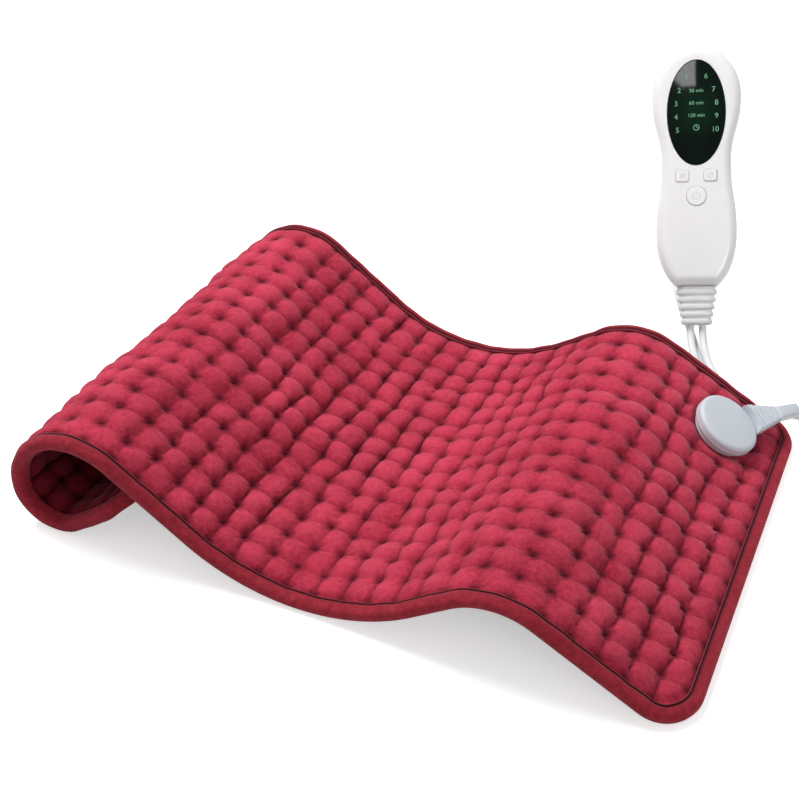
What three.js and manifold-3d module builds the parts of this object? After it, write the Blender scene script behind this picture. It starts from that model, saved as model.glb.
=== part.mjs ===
import * as THREE from 'three';
import { mergeVertices } from 'three/addons/utils/BufferGeometryUtils.js';
import Module from 'manifold-3d';

// Quilted heating pad with a plug-on connector and a hand controller on two leads.
// Sizes are millimetres and degrees, +Z is up. The pad's right end lies along Y at x = 0,
// its near edge at y = 0, and the floor at z = 0.

// Pad, measured flat
const PAD_LENGTH = 621.5;
const PAD_WIDTH = 305;
const CORNER_RADIUS = 30;
const QUILT_PITCH = 19.6;
const SEAM_INSET = 9.5;
const COVER_EDGE_INSET = 3;
const FELT_EDGE_INSET = 4.5;

// How the near and far edges of the pad lie, from the right end to the rolled left end.
// The fall and the rise are as long as it takes to bring the valley and the heel to the floor,
// and the whole wave is sized to the pad's length.
const NEAR_EDGE = {
  hemLength: 7, toeRadius: 49, toeTurn: 30, slopeLength: 76, crestRadius: 49, crestTurn: 65.5,
  valleyRadius: 130, valleyTurn: 71.5, rollRadius: 46, rollTurn: 128, heelRadius: 25, heelTurn: 122,
  tailLength: 56, tailTurn: 9,
};
const FAR_EDGE = {
  hemLength: 7, toeRadius: 53, toeTurn: 29.5, slopeLength: 75, crestRadius: 47, crestTurn: 64.5,
  valleyRadius: 119, valleyTurn: 71.5, rollRadius: 42, rollTurn: 131, heelRadius: 24.5, heelTurn: 120,
  tailLength: 50, tailTurn: 9,
};
const PAD_REST = 4.7;
const HEEL_REST = 6.1;

// Heights of the layers above the pad's middle surface
const TOP_PUFF = 7.4;
const TOP_DIMPLE = 4.4;
const TOP_EDGE = 4.0;
const TOP_LINING = 3.2;
const UPPER_FELT = [1.9, 2.9];
const CARRIER = [-1.4, -0.4];
const BOTTOM_LINING = -1.7;
const BOTTOM_EDGE = -2.6;
const BOTTOM_DIMPLE = -2.9;
const BOTTOM_PUFF = -5.6;
const FLOOR_PRESS = 2.2;

// Edge binding, a tape folded over the edge
const BINDING_WIDTH = 9;
const BINDING_FOLD = 2.4;
const BINDING_TAPE = 1;
const BINDING_PLAY = 0.8;

// Heating wire, laid to and fro on the carrier
const WIRE_RADIUS = 0.75;
const WIRE_HEIGHT = 0.75;
const WIRE_RUN_PITCHES = 2;
const WIRE_END_MARGIN = 34;
const WIRE_SIDE_MARGIN = 18;
const WIRE_RETURN_MARGIN = 13;
const WIRE_CORNER = 6;
const CUTOUT_SIZE = [9, 5, 1.5];

// Clearance between pieces that touch, and round pieces that pass through others
const GAP = 0.3;

// Socket on the pad and the connector that plugs on to it
const SOCKET_ALONG = 55;
const SOCKET_FROM_FAR_EDGE = 55;
const SOCKET_ACROSS = PAD_WIDTH - SOCKET_FROM_FAR_EDGE;
const CONNECTOR_RADIUS = 23.5;
const CONNECTOR_WALL = 1.8;
const CONNECTOR_CLEARING = 11;
const LOWER_SHELL_HEIGHT = 3.6;
const UPPER_SHELL_HEIGHT = 5.2;
const SOCKET_RADIUS = 20.5;
const SOCKET_HEIGHT = 3.4;
const PLATE_RADIUS = 17;
const PLATE_HEIGHT = [0.1, 1.3];
const PIN_RADIUS = 1.6;
const PIN_CIRCLE = 9;
const PIN_COUNT = 3;
const SLEEVE_WALL = 0.8;
const CONNECTOR_SCREW_CIRCLE = 16;
const CONNECTOR_RELIEF_TURN = 52;
const CONNECTOR_RELIEF_TILT = 9;
const CONNECTOR_RELIEF_LENGTH = 42;
const CONNECTOR_RELIEF_WIDTHS = [11, 6, 4.6];
const CONNECTOR_RELIEF_HEIGHT = 4;
const CONNECTOR_RELIEF_RIBS = 4;
const CONNECTOR_RIB_DEPTH = 0.9;
const CONNECTOR_NECK = { width: 5, height: 2.6, depth: 7 };
const CONNECTOR_FLANGE = { width: 7, height: 3.4, thick: 2.4 };
const CONNECTOR_BEVEL = 3;

// Hand controller
const CONTROLLER_BEHIND_PAD = 75.7;
const CONTROLLER_PLACE = { x: -96.8, y: PAD_WIDTH + CONTROLLER_BEHIND_PAD };
const CONTROLLER_TURN = 23.8;
const CONTROLLER_LEAN = 52;
const CONTROLLER_ROLL = -11.8;
const BODY_LENGTH = 185;
const HEAD_WIDTH = 68;
const HEAD_AT = 146;
const WAIST_WIDTH = 53;
const WAIST_AT = 94;
const PALM_WIDTH = 61.6;
const PALM_AT = 41;
const TAIL_WIDTH = 32;
const FRONT_DEPTH = 12.6;
const REAR_DEPTH = 13;
const CASE_WALL = 2.4;
const CASE_EDGE = 5;
const CASE_CROWN = 8.5;
const WINDOW_SIZE = [44, 81];
const WINDOW_AT = 132.5;
const WINDOW_THICK = 1.4;
const WINDOW_LEDGE = 1.6;
const BUTTON_ROW_AT = 84;
const BUTTON_ROW_SPACING = 21;
const BUTTON_SIZE = [10, 9];
const POWER_BUTTON_AT = 68.5;
const POWER_BUTTON_DIAMETER = 15;
const BOARD_THICK = 1.6;
const BOARD_WIDTH = 41;
const BOARD_SPAN = [18, 113];
const DISPLAY_BOARD_SIZE = [40, 66];
const SCREW_RADIUS = 1.4;
const SCREW_HEAD_RADIUS = 2.8;
const SCREW_HEAD_HEIGHT = 1.8;
const BOSS_RADIUS = 3.8;
const SCREW_PLACES = [[-17, 24], [17, 24], [-17, 99], [17, 99]];
const BUTTON_TRAVEL = 0.8;
const BUTTON_PROUD = 0.7;
const BUTTON_FLANGE = 1.1;
const BUTTON_STEM_RADIUS = 2.2;
const SWITCH_HEIGHT = 2.8;
const SWITCH_SIDE = 6;
const SWITCH_KEY = { radius: 1.7, height: 0.8 };
const TRIAC = { size: [10, 15, 4.5], x: -10, y: 52 };
const CAPACITOR = { size: [12, 6, 7.5], x: 9, y: 56 };
const FUSE = { radius: 2.5, length: 20, y: 38 };
const TERMINAL_BLOCK = { size: [22, 8, 7.5], x: 0, y: 26 };
const DISPLAY_CONNECTOR = { width: 16, depth: 3, fromBoardEnd: 4 };
const CORES_RADIUS = 1.6;
const RELIEF_LENGTH = 30;
const RELIEF_WIDTHS = [12, 15.5];
const RELIEF_HEIGHTS = [6.6, 8];
const RELIEF_RIBS = 5;
const RELIEF_RIB_DEPTH = 1.2;
const RELIEF_NECK_INSETS = [4, 3];
const RELIEF_FLANGE = { grow: [1.6, 0.9], thick: 2 };

// Leads, their coil and hank, and the plug
const LEAD_DIAMETER = 6;
const LEAD_SIDES = 8;
const LEAD_SPACING = 9.3;
const LEAD_BEND = 4 * LEAD_DIAMETER;
const LEAD_STRAIGHT = 2;
const PAIR_HEIGHT = 8.2;
const TURN_PITCH = 6.7;
const WOUND_STEPS = 24;
const WOUND_SIDES = 6;
const COIL_RADIUS = 37.4;
const COIL_BEHIND_PAD = 38;
const COIL_CENTRE = { x: 55, y: PAD_WIDTH + COIL_BEHIND_PAD };
const COIL_TURNS = 2.66;
const COIL_LIFT = 2;
const HANK_RADIUS = 58.5;
const HANK_TURNS = 6;
const HANK_LAYERS = 4;
const HANK_TURN = 14.4;
const HANK_ASIDE = -6;
const TIE_WIDTH = 12;
const TIE_THICK = 1.2;
const PLUG_SIZE = [26, 34, 22];
const PLUG_GAP_FROM_HANK = 12;
const PLUG_RELIEF_LENGTH = 26;
const BLADE_SIZE = [1.5, 17.5, 6.4];
const BLADE_SPACING = 12.7;
const PLUG_BEVEL = 4;
const PLUG_RIM = 1;
const PLUG_RELIEF_ENDS = [[4.4, 4.4], [7, 6.4]];

// Routes of the free stretches. The pad lead's points are right of the pad's right end,
// behind its far edge, and up. The mains lead's points are along the controller's own direction
// from the end of its strain relief (towards the pad is negative), across to the right, and up.
const PAD_LEAD_OUT = [
  [7, 12, 15.5], [12.5, 26, 10.5], [16.5, 40, 6.8],
];
const PAD_LEAD_BACK = [
  [38, 3, 9], [24, 8, 5.5], [9, 14.5, 3.4], [-5, 15.5, 3.3], [-18, 13, 3.3], [-32, 11.5, 3.3],
  [-44, 14, 3.4], [-55, 20, 4], [-64.5, 27.5, 5.4], [-72.7, 37.1, 7], [-79.6, 48.3, 8],
];
const MAINS_LEAD_LOOP = [
  [-32, -4.9, 8], [-44, -7.5, 7], [-57, -15, 5.2], [-74, -32, 3.6], [-88, -54, 3.3],
  [-101, -70, 3.3], [-119, -73, 3.3], [-133, -61, 3.3], [-137, -41, 3.3], [-126, -24, 3.3],
  [-105, -15, 3.3], [-84, -7, 3.3], [-65, -1, 3.3], [-47, 0, 3.3], [-28, 0, 3.2], [-6, 0, 3.2],
  [20, -0.6, 3.2], [48, -2, 3.2], [74, -2.4, 3.3], [94, -0.6, 3.4],
];

const CORD_NODES = [
  'pad_lead_out', 'pad_lead_coil', 'pad_lead_back', 'mains_lead_loop', 'mains_lead_hank',
  'mains_lead_end', 'coil_tie', 'hank_tie', 'plug_body', 'plug_strain_relief',
  'plug_blade_1', 'plug_blade_2',
];

const rad = THREE.MathUtils.degToRad;
const vec = (x, y, z) => new THREE.Vector3(x, y, z);
const wasm = await Module();
wasm.setup();

// Closed meshes and boolean work

function toSolid(geometry) {
  const bare = geometry.clone();
  bare.deleteAttribute('normal');
  bare.deleteAttribute('uv');
  const merged = mergeVertices(bare, 1e-4);
  return new wasm.Manifold(new wasm.Mesh({
    numProp: 3,
    vertProperties: new Float32Array(merged.attributes.position.array),
    triVerts: new Uint32Array(merged.index.array),
  }));
}

function toGeometry(solid) {
  const { vertProperties, triVerts } = solid.getMesh();
  const geometry = new THREE.BufferGeometry();
  geometry.setAttribute('position', new THREE.BufferAttribute(vertProperties, 3));
  geometry.setIndex(new THREE.BufferAttribute(triVerts, 1));
  geometry.computeVertexNormals();
  return geometry;
}

function cut(geometry, ...tools) {
  let solid = toSolid(geometry);
  for (const tool of tools) solid = solid.subtract(toSolid(tool));
  return toGeometry(solid);
}

function join(...geometries) {
  let solid = toSolid(geometries[0]);
  for (const other of geometries.slice(1)) solid = solid.add(toSolid(other));
  return toGeometry(solid);
}

function fromTriangles(points, triangles) {
  const geometry = new THREE.BufferGeometry();
  const places = points.flatMap((p) => [p.x, p.y, p.z]);
  geometry.setAttribute('position', new THREE.Float32BufferAttribute(places, 3));
  let volume = 0;
  for (const [a, b, c] of triangles) {
    volume += points[a].dot(points[b].clone().cross(points[c]));
  }
  const facing = volume > 0 ? triangles : triangles.map(([a, b, c]) => [a, c, b]);
  geometry.setIndex(facing.flat());
  geometry.computeVertexNormals();
  return geometry;
}

// Skin over a row of rings with equal counts of points, with a fan on each end
function loft(rings, closedOnItself = false) {
  const count = rings[0].length;
  const points = rings.flat();
  const triangles = [];
  const last = closedOnItself ? rings.length : rings.length - 1;
  for (let r = 0; r < last; r += 1) {
    const next = (r + 1) % rings.length;
    for (let k = 0; k < count; k += 1) {
      const k2 = (k + 1) % count;
      triangles.push([r * count + k, r * count + k2, next * count + k]);
      triangles.push([r * count + k2, next * count + k2, next * count + k]);
    }
  }
  if (!closedOnItself) {
    for (const r of [0, rings.length - 1]) {
      const middle = rings[r].reduce((sum, p) => sum.add(p), vec(0, 0, 0)).divideScalar(count);
      const hub = points.push(middle) - 1;
      for (let k = 0; k < count; k += 1) {
        const pair = [r * count + k, r * count + (k + 1) % count];
        triangles.push(r === 0 ? [hub, pair[1], pair[0]] : [hub, pair[0], pair[1]]);
      }
    }
  }
  return fromTriangles(points, triangles);
}

function cylinder(radius, low, high, x = 0, y = 0, sides = 20) {
  const geometry = new THREE.CylinderGeometry(radius, radius, high - low, sides);
  geometry.rotateX(Math.PI / 2);
  geometry.translate(x, y, (low + high) / 2);
  return geometry;
}

function block(width, depth, low, high, x = 0, y = 0) {
  const geometry = new THREE.BoxGeometry(width, depth, high - low);
  geometry.translate(x, y, (low + high) / 2);
  return geometry;
}

function ellipsePrism(width, depth, low, high, x = 0, y = 0, sides = 32) {
  const geometry = cylinder(0.5, low, high, 0, 0, sides);
  geometry.scale(width, depth, 1);
  geometry.translate(x, y, 0);
  return geometry;
}

// Points round a rectangle whose corners are rounded like a superellipse
function roundedRing(halfWidth, halfHeight, sides, power = 3.2) {
  const ring = [];
  for (let k = 0; k < sides; k += 1) {
    const angle = (k + 0.5) / sides * 2 * Math.PI;
    const c = Math.cos(angle);
    const s = Math.sin(angle);
    const swell = (Math.abs(c) ** power + Math.abs(s) ** power) ** (-1 / power);
    ring.push([halfWidth * c * swell, halfHeight * s * swell]);
  }
  return ring;
}

// Tube along a row of points, its section carried along without twist
function ropeAlong(points, radius, sides) {
  const rings = [];
  let side = null;
  points.forEach((p, k) => {
    const before = points[Math.max(k - 1, 0)];
    const after = points[Math.min(k + 1, points.length - 1)];
    const ahead = after.clone().sub(before).normalize();
    if (!side) side = Math.abs(ahead.z) < 0.9 ? vec(0, 0, 1) : vec(1, 0, 0);
    side = side.clone().addScaledVector(ahead, -side.dot(ahead)).normalize();
    const third = ahead.clone().cross(side);
    const ring = [];
    for (let n = 0; n < sides; n += 1) {
      const angle = (n + 0.5) / sides * 2 * Math.PI;
      ring.push(p.clone().addScaledVector(side, radius * Math.cos(angle))
        .addScaledVector(third, radius * Math.sin(angle)));
    }
    rings.push(ring);
  });
  return loft(rings);
}

// Free stretch of lead through chosen points
function leadAlong(points) {
  const curve = new THREE.CatmullRomCurve3(points, false, 'centripetal');
  const section = new THREE.Shape();
  for (let n = 0; n < LEAD_SIDES; n += 1) {
    const angle = (n + 0.5) / LEAD_SIDES * 2 * Math.PI;
    const place = [LEAD_DIAMETER / 2 * Math.cos(angle), LEAD_DIAMETER / 2 * Math.sin(angle)];
    if (n === 0) section.moveTo(...place);
    else section.lineTo(...place);
  }
  section.closePath();
  const steps = Math.max(4, Math.round(curve.getLength() / (2.8 * LEAD_DIAMETER)));
  const tube = new THREE.ExtrudeGeometry(section, { steps, extrudePath: curve, bevelEnabled: false });
  tube.deleteAttribute('uv');
  tube.deleteAttribute('normal');
  const merged = mergeVertices(tube, 1e-4);
  const place = merged.attributes.position;
  const corners = [];
  for (let k = 0; k < place.count; k += 1) corners.push(vec().fromBufferAttribute(place, k));
  const triangles = [];
  for (let k = 0; k < merged.index.count; k += 3) {
    triangles.push([merged.index.array[k], merged.index.array[k + 1], merged.index.array[k + 2]]);
  }
  return fromTriangles(corners, triangles);
}

// Least gap between the turns of one tube, measured between points a turn or so apart
function leastGap(points, diameter, apart) {
  let least = Infinity;
  for (let a = 0; a < points.length; a += 1) {
    for (let b = a + apart; b < points.length; b += 1) {
      const ahead = points[Math.min(b + 1, points.length - 1)];
      const line = new THREE.Line3(points[b], ahead);
      const near = line.closestPointToPoint(points[a], true, vec());
      least = Math.min(least, near.distanceTo(points[a]) - diameter);
    }
  }
  return least;
}

// Materials
function finish(color, roughness, metalness = 0) {
  return new THREE.MeshStandardMaterial({ color, roughness, metalness });
}
const PLUSH = finish(0xb8344e, 0.95);
const BINDING_CLOTH = finish(0x7d1a2a, 0.85);
const FELT = finish(0xd9d4cc, 0.95);
const WIRE_COAT = finish(0xd8d2b8, 0.6);
const GREY_PLASTIC = finish(0xc3c9d2, 0.45);
const WHITE_PLASTIC = finish(0xeeeef0, 0.35);
const LEAD_COAT = finish(0xe4e5e8, 0.5);
const BLACK_LENS = finish(0x08090b, 0.08);
const BOARD_GREEN = finish(0x1d5a35, 0.55);
const DARK_PLASTIC = finish(0x26272a, 0.5);
const STEEL = finish(0xb9bcc0, 0.3, 1);
const BRASS = finish(0xc9a24b, 0.3, 1);

const root = new THREE.Group();

function add(name, geometry, material, parent = root) {
  const mesh = new THREE.Mesh(geometry, material);
  mesh.name = name;
  parent.add(mesh);
  return mesh;
}

// How an edge of the pad lies: stretches of a given length and turn, from the right end.
// The heading is the climb in degrees, going left.
function layOut(edge, size) {
  const arc = (radius, turn) => ({ length: size * radius * rad(Math.abs(turn)), turn });
  const fallHeading = edge.toeTurn - edge.crestTurn;
  const riseHeading = fallHeading + edge.valleyTurn;
  const climb = (radius, from, to) => size * radius * (Math.cos(rad(from)) - Math.cos(rad(to)));
  const slope = size * edge.slopeLength;
  const crestEnd = climb(edge.toeRadius, 0, edge.toeTurn) + slope * Math.sin(rad(edge.toeTurn))
    - climb(edge.crestRadius, edge.toeTurn, fallHeading);
  const fall = (crestEnd - climb(edge.valleyRadius, 0, fallHeading)) / Math.sin(rad(-fallHeading));
  const heelDrop = climb(edge.rollRadius, riseHeading, riseHeading - edge.rollTurn)
    + climb(edge.heelRadius, riseHeading - edge.rollTurn, -180);
  const lift = HEEL_REST - PAD_REST;
  const rise = (heelDrop + lift - climb(edge.valleyRadius, 0, riseHeading)) / Math.sin(rad(riseHeading));
  return [
    { length: size * edge.hemLength, turn: 0 },
    arc(edge.toeRadius, edge.toeTurn),
    { length: slope, turn: 0 },
    arc(edge.crestRadius, -edge.crestTurn),
    { length: fall, turn: 0 },
    arc(edge.valleyRadius, edge.valleyTurn),
    { length: rise, turn: 0 },
    arc(edge.rollRadius, -edge.rollTurn),
    arc(edge.heelRadius, -edge.heelTurn),
    { length: size * edge.tailLength, turn: -edge.tailTurn },
  ];
}

// Place and upper normal of an edge at a share of its length
function edgeAt(stretches, share) {
  let left = share * lengthOf(stretches);
  let x = 0;
  let z = PAD_REST;
  let heading = 0;
  for (const [k, stretch] of stretches.entries()) {
    const part = k === stretches.length - 1 ? left : Math.min(left, stretch.length);
    const turn = rad(stretch.turn) * part / stretch.length;
    const chord = Math.abs(turn) < 1e-9 ? part : part * Math.sin(turn / 2) / (turn / 2);
    x -= chord * Math.cos(heading + turn / 2);
    z += chord * Math.sin(heading + turn / 2);
    heading += turn;
    left -= part;
    if (left <= 1e-9) break;
  }
  return { x, z, nx: Math.sin(heading), nz: Math.cos(heading) };
}

// The mean length of the edges grows evenly with the wave's size
const lengthOf = (stretches) => stretches.reduce((sum, s) => sum + s.length, 0);
const meanLength = (size) => (lengthOf(layOut(NEAR_EDGE, size)) + lengthOf(layOut(FAR_EDGE, size))) / 2;
const waveSize = (PAD_LENGTH - meanLength(0)) / (meanLength(1) - meanLength(0));
const nearStretches = layOut(NEAR_EDGE, waveSize);
const farStretches = layOut(FAR_EDGE, waveSize);

// The quilting's lines, on the flat pad
function gridLines(whole) {
  const field = whole - 2 * SEAM_INSET;
  const cells = Math.round(field / QUILT_PITCH);
  const lines = [COVER_EDGE_INSET];
  for (let k = 0; k <= cells; k += 1) lines.push(SEAM_INSET + field * k / cells);
  lines.push(whole - COVER_EDGE_INSET);
  return lines;
}

const alongLines = gridLines(PAD_LENGTH);
const acrossLines = gridLines(PAD_WIDTH);

// A place on the smooth pad: along from the right end, across from the near edge, up
function smoothPlace(along, across, up) {
  const near = edgeAt(nearStretches, along / PAD_LENGTH);
  const far = edgeAt(farStretches, along / PAD_LENGTH);
  const share = across / PAD_WIDTH;
  const mix = (a, b) => a + (b - a) * share;
  return vec(
    mix(near.x + up * near.nx, far.x + up * far.nx),
    across,
    mix(near.z + up * near.nz, far.z + up * far.nz),
  );
}

// The same on the pad's flat facets, which run from line to line of the quilting
const foldLines = [0, ...alongLines, PAD_LENGTH];
function foldedPlace(along, across, up) {
  let k = 0;
  while (k < foldLines.length - 2 && along > foldLines[k + 1]) k += 1;
  const share = (along - foldLines[k]) / (foldLines[k + 1] - foldLines[k]);
  return smoothPlace(foldLines[k], across, up).lerp(smoothPlace(foldLines[k + 1], across, up), share);
}

// Squares round a corner of the pad become quarter rings round the centre of its rounding
function roundCorner(along, across) {
  const intoAlong = Math.max(CORNER_RADIUS - along, along - (PAD_LENGTH - CORNER_RADIUS));
  const intoAcross = Math.max(CORNER_RADIUS - across, across - (PAD_WIDTH - CORNER_RADIUS));
  if (intoAlong <= 0 || intoAcross <= 0) return [along, across];
  const pull = 1 - Math.max(intoAlong, intoAcross) / Math.hypot(intoAlong, intoAcross);
  const signAlong = along < PAD_LENGTH / 2 ? 1 : -1;
  const signAcross = across < PAD_WIDTH / 2 ? 1 : -1;
  return [along + signAlong * intoAlong * pull, across + signAcross * intoAcross * pull];
}

const layerPlace = (along, across, up) => foldedPlace(...roundCorner(along, across), up);

// The frame of the socket: right down the slope, away from the near edge, and off the pad
const socketPlace = foldedPlace(SOCKET_ALONG, SOCKET_ACROSS, 0);
const socketAcross = foldedPlace(SOCKET_ALONG, SOCKET_ACROSS + 1, 0).sub(socketPlace).normalize();
const socketDown = socketPlace.clone().sub(foldedPlace(SOCKET_ALONG + 1, SOCKET_ACROSS, 0)).normalize();
const socketUp = socketDown.clone().cross(socketAcross).normalize();
const socketSide = socketUp.clone().cross(socketDown);
const socketFrame = new THREE.Matrix4().makeBasis(socketDown, socketSide, socketUp).setPosition(socketPlace);
const onPad = (geometry) => geometry.applyMatrix4(socketFrame);

// A cover: quilted outside, plain lining inside, flat under the connector and on the floor
function cover(puff, dimple, edge, lining) {
  const points = [];
  const triangles = [];
  const rows = alongLines.length;
  const columns = acrossLines.length;
  const outer = [];
  const flatten = (p) => (p.z < FLOOR_PRESS ? vec(p.x, p.y, 0) : p);
  const underConnector = (along, across) => puff > 0
    && Math.hypot(along - SOCKET_ALONG, across - SOCKET_ACROSS) < CONNECTOR_RADIUS + CONNECTOR_CLEARING;
  for (let i = 0; i < rows; i += 1) {
    outer.push([]);
    for (let j = 0; j < columns; j += 1) {
      const onEdge = i === 0 || j === 0 || i === rows - 1 || j === columns - 1;
      const place = layerPlace(alongLines[i], acrossLines[j], onEdge ? edge : dimple);
      const inside = i > 1 && j > 1 && i < rows - 2 && j < columns - 2;
      outer[i].push(points.push(inside ? flatten(place) : place) - 1);
    }
  }
  const lined = [0, Math.floor(columns / 2), columns - 1];
  const inner = alongLines.map((along) => lined.map(
    (j) => points.push(layerPlace(along, acrossLines[j], lining)) - 1,
  ));
  for (let i = 0; i < rows - 1; i += 1) {
    for (let j = 0; j < columns - 1; j += 1) {
      const ring = [outer[i][j], outer[i + 1][j], outer[i + 1][j + 1], outer[i][j + 1]];
      const field = i > 0 && j > 0 && i < rows - 2 && j < columns - 2;
      if (field) {
        const along = (alongLines[i] + alongLines[i + 1]) / 2;
        const across = (acrossLines[j] + acrossLines[j + 1]) / 2;
        const up = underConnector(along, across) ? dimple : puff;
        const [a, b] = roundCorner(along, across);
        const top = points.push(flatten(smoothPlace(a, b, up))) - 1;
        ring.forEach((p, k) => triangles.push([p, ring[(k + 1) % 4], top]));
      } else {
        triangles.push([ring[0], ring[1], ring[2]], [ring[0], ring[2], ring[3]]);
      }
    }
    for (let k = 0; k < lined.length - 1; k += 1) {
      const ring = [inner[i][k], inner[i][k + 1], inner[i + 1][k + 1], inner[i + 1][k]];
      const split = puff > 0 ? [[0, 1, 2], [0, 2, 3]] : [[0, 1, 3], [1, 2, 3]];
      triangles.push(...split.map((corners) => corners.map((c) => ring[c])));
    }
    for (const [j, k, turned] of [[0, 0, false], [columns - 1, lined.length - 1, true]]) {
      const ring = [outer[i][j], inner[i][k], inner[i + 1][k], outer[i + 1][j]];
      if (turned) ring.reverse();
      triangles.push([ring[0], ring[1], ring[2]], [ring[0], ring[2], ring[3]]);
    }
  }
  for (const [i, turned] of [[0, false], [rows - 1, true]]) {
    for (let k = 0; k < lined.length - 1; k += 1) {
      const fan = [];
      for (let j = lined[k]; j < lined[k + 1]; j += 1) {
        fan.push([inner[i][k], outer[i][j], outer[i][j + 1]]);
      }
      fan.push([inner[i][k], outer[i][lined[k + 1]], inner[i][k + 1]]);
      triangles.push(...(turned ? fan.map(([a, b, c]) => [a, c, b]) : fan));
    }
  }
  return fromTriangles(points, triangles);
}

// A plain sheet inside the pad
function sheet([low, high], inset) {
  const stations = [inset, ...alongLines.slice(1, -1), PAD_LENGTH - inset];
  const sides = [inset, PAD_WIDTH / 2, PAD_WIDTH - inset];
  return loft(stations.map((along) => [
    ...sides.map((across) => layerPlace(along, across, low)),
    ...sides.toReversed().map((across) => layerPlace(along, across, high)),
  ]));
}

const pinAngles = Array.from({ length: PIN_COUNT }, (_, k) => rad(360 * k / PIN_COUNT + 90));
const pinPlaces = pinAngles.map((angle) => [PIN_CIRCLE * Math.cos(angle), PIN_CIRCLE * Math.sin(angle)]);
const pinHoles = (low, high, radius) => pinPlaces.map(([x, y]) => cylinder(radius, low, high, x, y, 10));

const socketLow = TOP_DIMPLE + GAP;
const socketHigh = socketLow + SOCKET_HEIGHT;
const lowerLow = socketHigh + GAP;
const lowerHigh = lowerLow + LOWER_SHELL_HEIGHT;
const upperLow = lowerHigh + GAP;
const upperHigh = upperLow + UPPER_SHELL_HEIGHT;

// One round hole lets the contact pins through the felt and the cover
const pinHoleRadius = PIN_CIRCLE + PIN_RADIUS + 3 * GAP;
const pinHole = () => onPad(cylinder(pinHoleRadius, UPPER_FELT[0] - 1, TOP_PUFF + 1, 0, 0, 12));
add('pad_top_cover', cut(cover(TOP_PUFF, TOP_DIMPLE, TOP_EDGE, TOP_LINING), pinHole()), PLUSH);
add('upper_felt', cut(sheet(UPPER_FELT, FELT_EDGE_INSET), pinHole()), FELT);
add('element_carrier', sheet(CARRIER, FELT_EDGE_INSET), FELT);
add('pad_bottom_cover', cover(BOTTOM_PUFF, BOTTOM_DIMPLE, BOTTOM_EDGE, BOTTOM_LINING), PLUSH);

// Binding: one folded tape all the way round, closed on itself
function edgeBinding() {
  const top = TOP_EDGE + BINDING_PLAY;
  const bottom = BOTTOM_EDGE - BINDING_PLAY;
  const crown = (top + bottom) / 2;
  const section = [
    [BINDING_WIDTH, top + BINDING_TAPE], [BINDING_FOLD / 2, top + BINDING_TAPE], [0, crown],
    [BINDING_FOLD / 2, bottom - BINDING_TAPE], [BINDING_WIDTH, bottom - BINDING_TAPE],
    [BINDING_WIDTH, bottom], [BINDING_FOLD, bottom], [BINDING_FOLD, top], [BINDING_WIDTH, top],
  ];
  const corner = [0.5, 1].map((share) => CORNER_RADIUS * share);
  const clear = CORNER_RADIUS + BINDING_WIDTH / 2;
  const stations = (whole, lines) => [
    ...corner,
    ...lines.filter((line) => line > clear && line < whole - clear),
    ...corner.map((step) => whole - step).reverse(),
  ];
  const alongStations = stations(PAD_LENGTH, alongLines);
  const acrossStations = stations(PAD_WIDTH, []);
  const ringAt = ([inset, up]) => [
    [inset, inset], ...alongStations.map((s) => [s, inset]),
    [PAD_LENGTH - inset, inset], ...acrossStations.map((s) => [PAD_LENGTH - inset, s]),
    [PAD_LENGTH - inset, PAD_WIDTH - inset],
    ...alongStations.map((s) => [s, PAD_WIDTH - inset]).reverse(),
    [inset, PAD_WIDTH - inset], ...acrossStations.map((s) => [inset, s]).reverse(),
  ].map(([along, across]) => layerPlace(along, across, up));
  const rings = section.map(ringAt);
  return loft(rings, true);
}
add('edge_binding', edgeBinding(), BINDING_CLOTH);

// Heating wire: from the socket's plate, to and fro across the pad, and back along the far edge
function wireRoute() {
  const spacing = WIRE_RUN_PITCHES * (alongLines[2] - alongLines[1]);
  const nearEnd = WIRE_SIDE_MARGIN + spacing / 2;
  const farEnd = PAD_WIDTH - WIRE_SIDE_MARGIN - WIRE_RETURN_MARGIN - spacing / 2;
  const first = SOCKET_ALONG - PLATE_RADIUS / 2;
  const runs = Math.floor((PAD_LENGTH - WIRE_END_MARGIN - first) / spacing / 2) * 2;
  const plateReach = Math.sqrt(PLATE_RADIUS ** 2 - (PLATE_RADIUS / 2) ** 2) + WIRE_RADIUS + GAP;
  const route = [[first, SOCKET_ACROSS - plateReach]];
  for (let run = 0; run < runs; run += 1) {
    const along = first + run * spacing;
    const goingNear = run % 2 === 0;
    const end = goingNear ? nearEnd : farEnd;
    route.push([along, end]);
    for (let k = 1; k < 4 && run < runs - 1; k += 1) {
      const angle = Math.PI * k / 4;
      const reach = spacing / 2 * Math.sin(angle);
      route.push([along + spacing / 2 * (1 - Math.cos(angle)), goingNear ? end - reach : end + reach]);
    }
    if (run < runs - 1) route.push([along + spacing, end]);
  }
  const lastAlong = first + (runs - 1) * spacing;
  const returnLine = PAD_WIDTH - WIRE_RETURN_MARGIN;
  route.push([lastAlong, returnLine - WIRE_CORNER], [lastAlong - WIRE_CORNER, returnLine]);
  route.push([SOCKET_ALONG + WIRE_CORNER, returnLine], [SOCKET_ALONG, returnLine - WIRE_CORNER]);
  route.push([SOCKET_ALONG, SOCKET_ACROSS + PLATE_RADIUS + WIRE_RADIUS + GAP]);
  return route;
}

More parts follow.
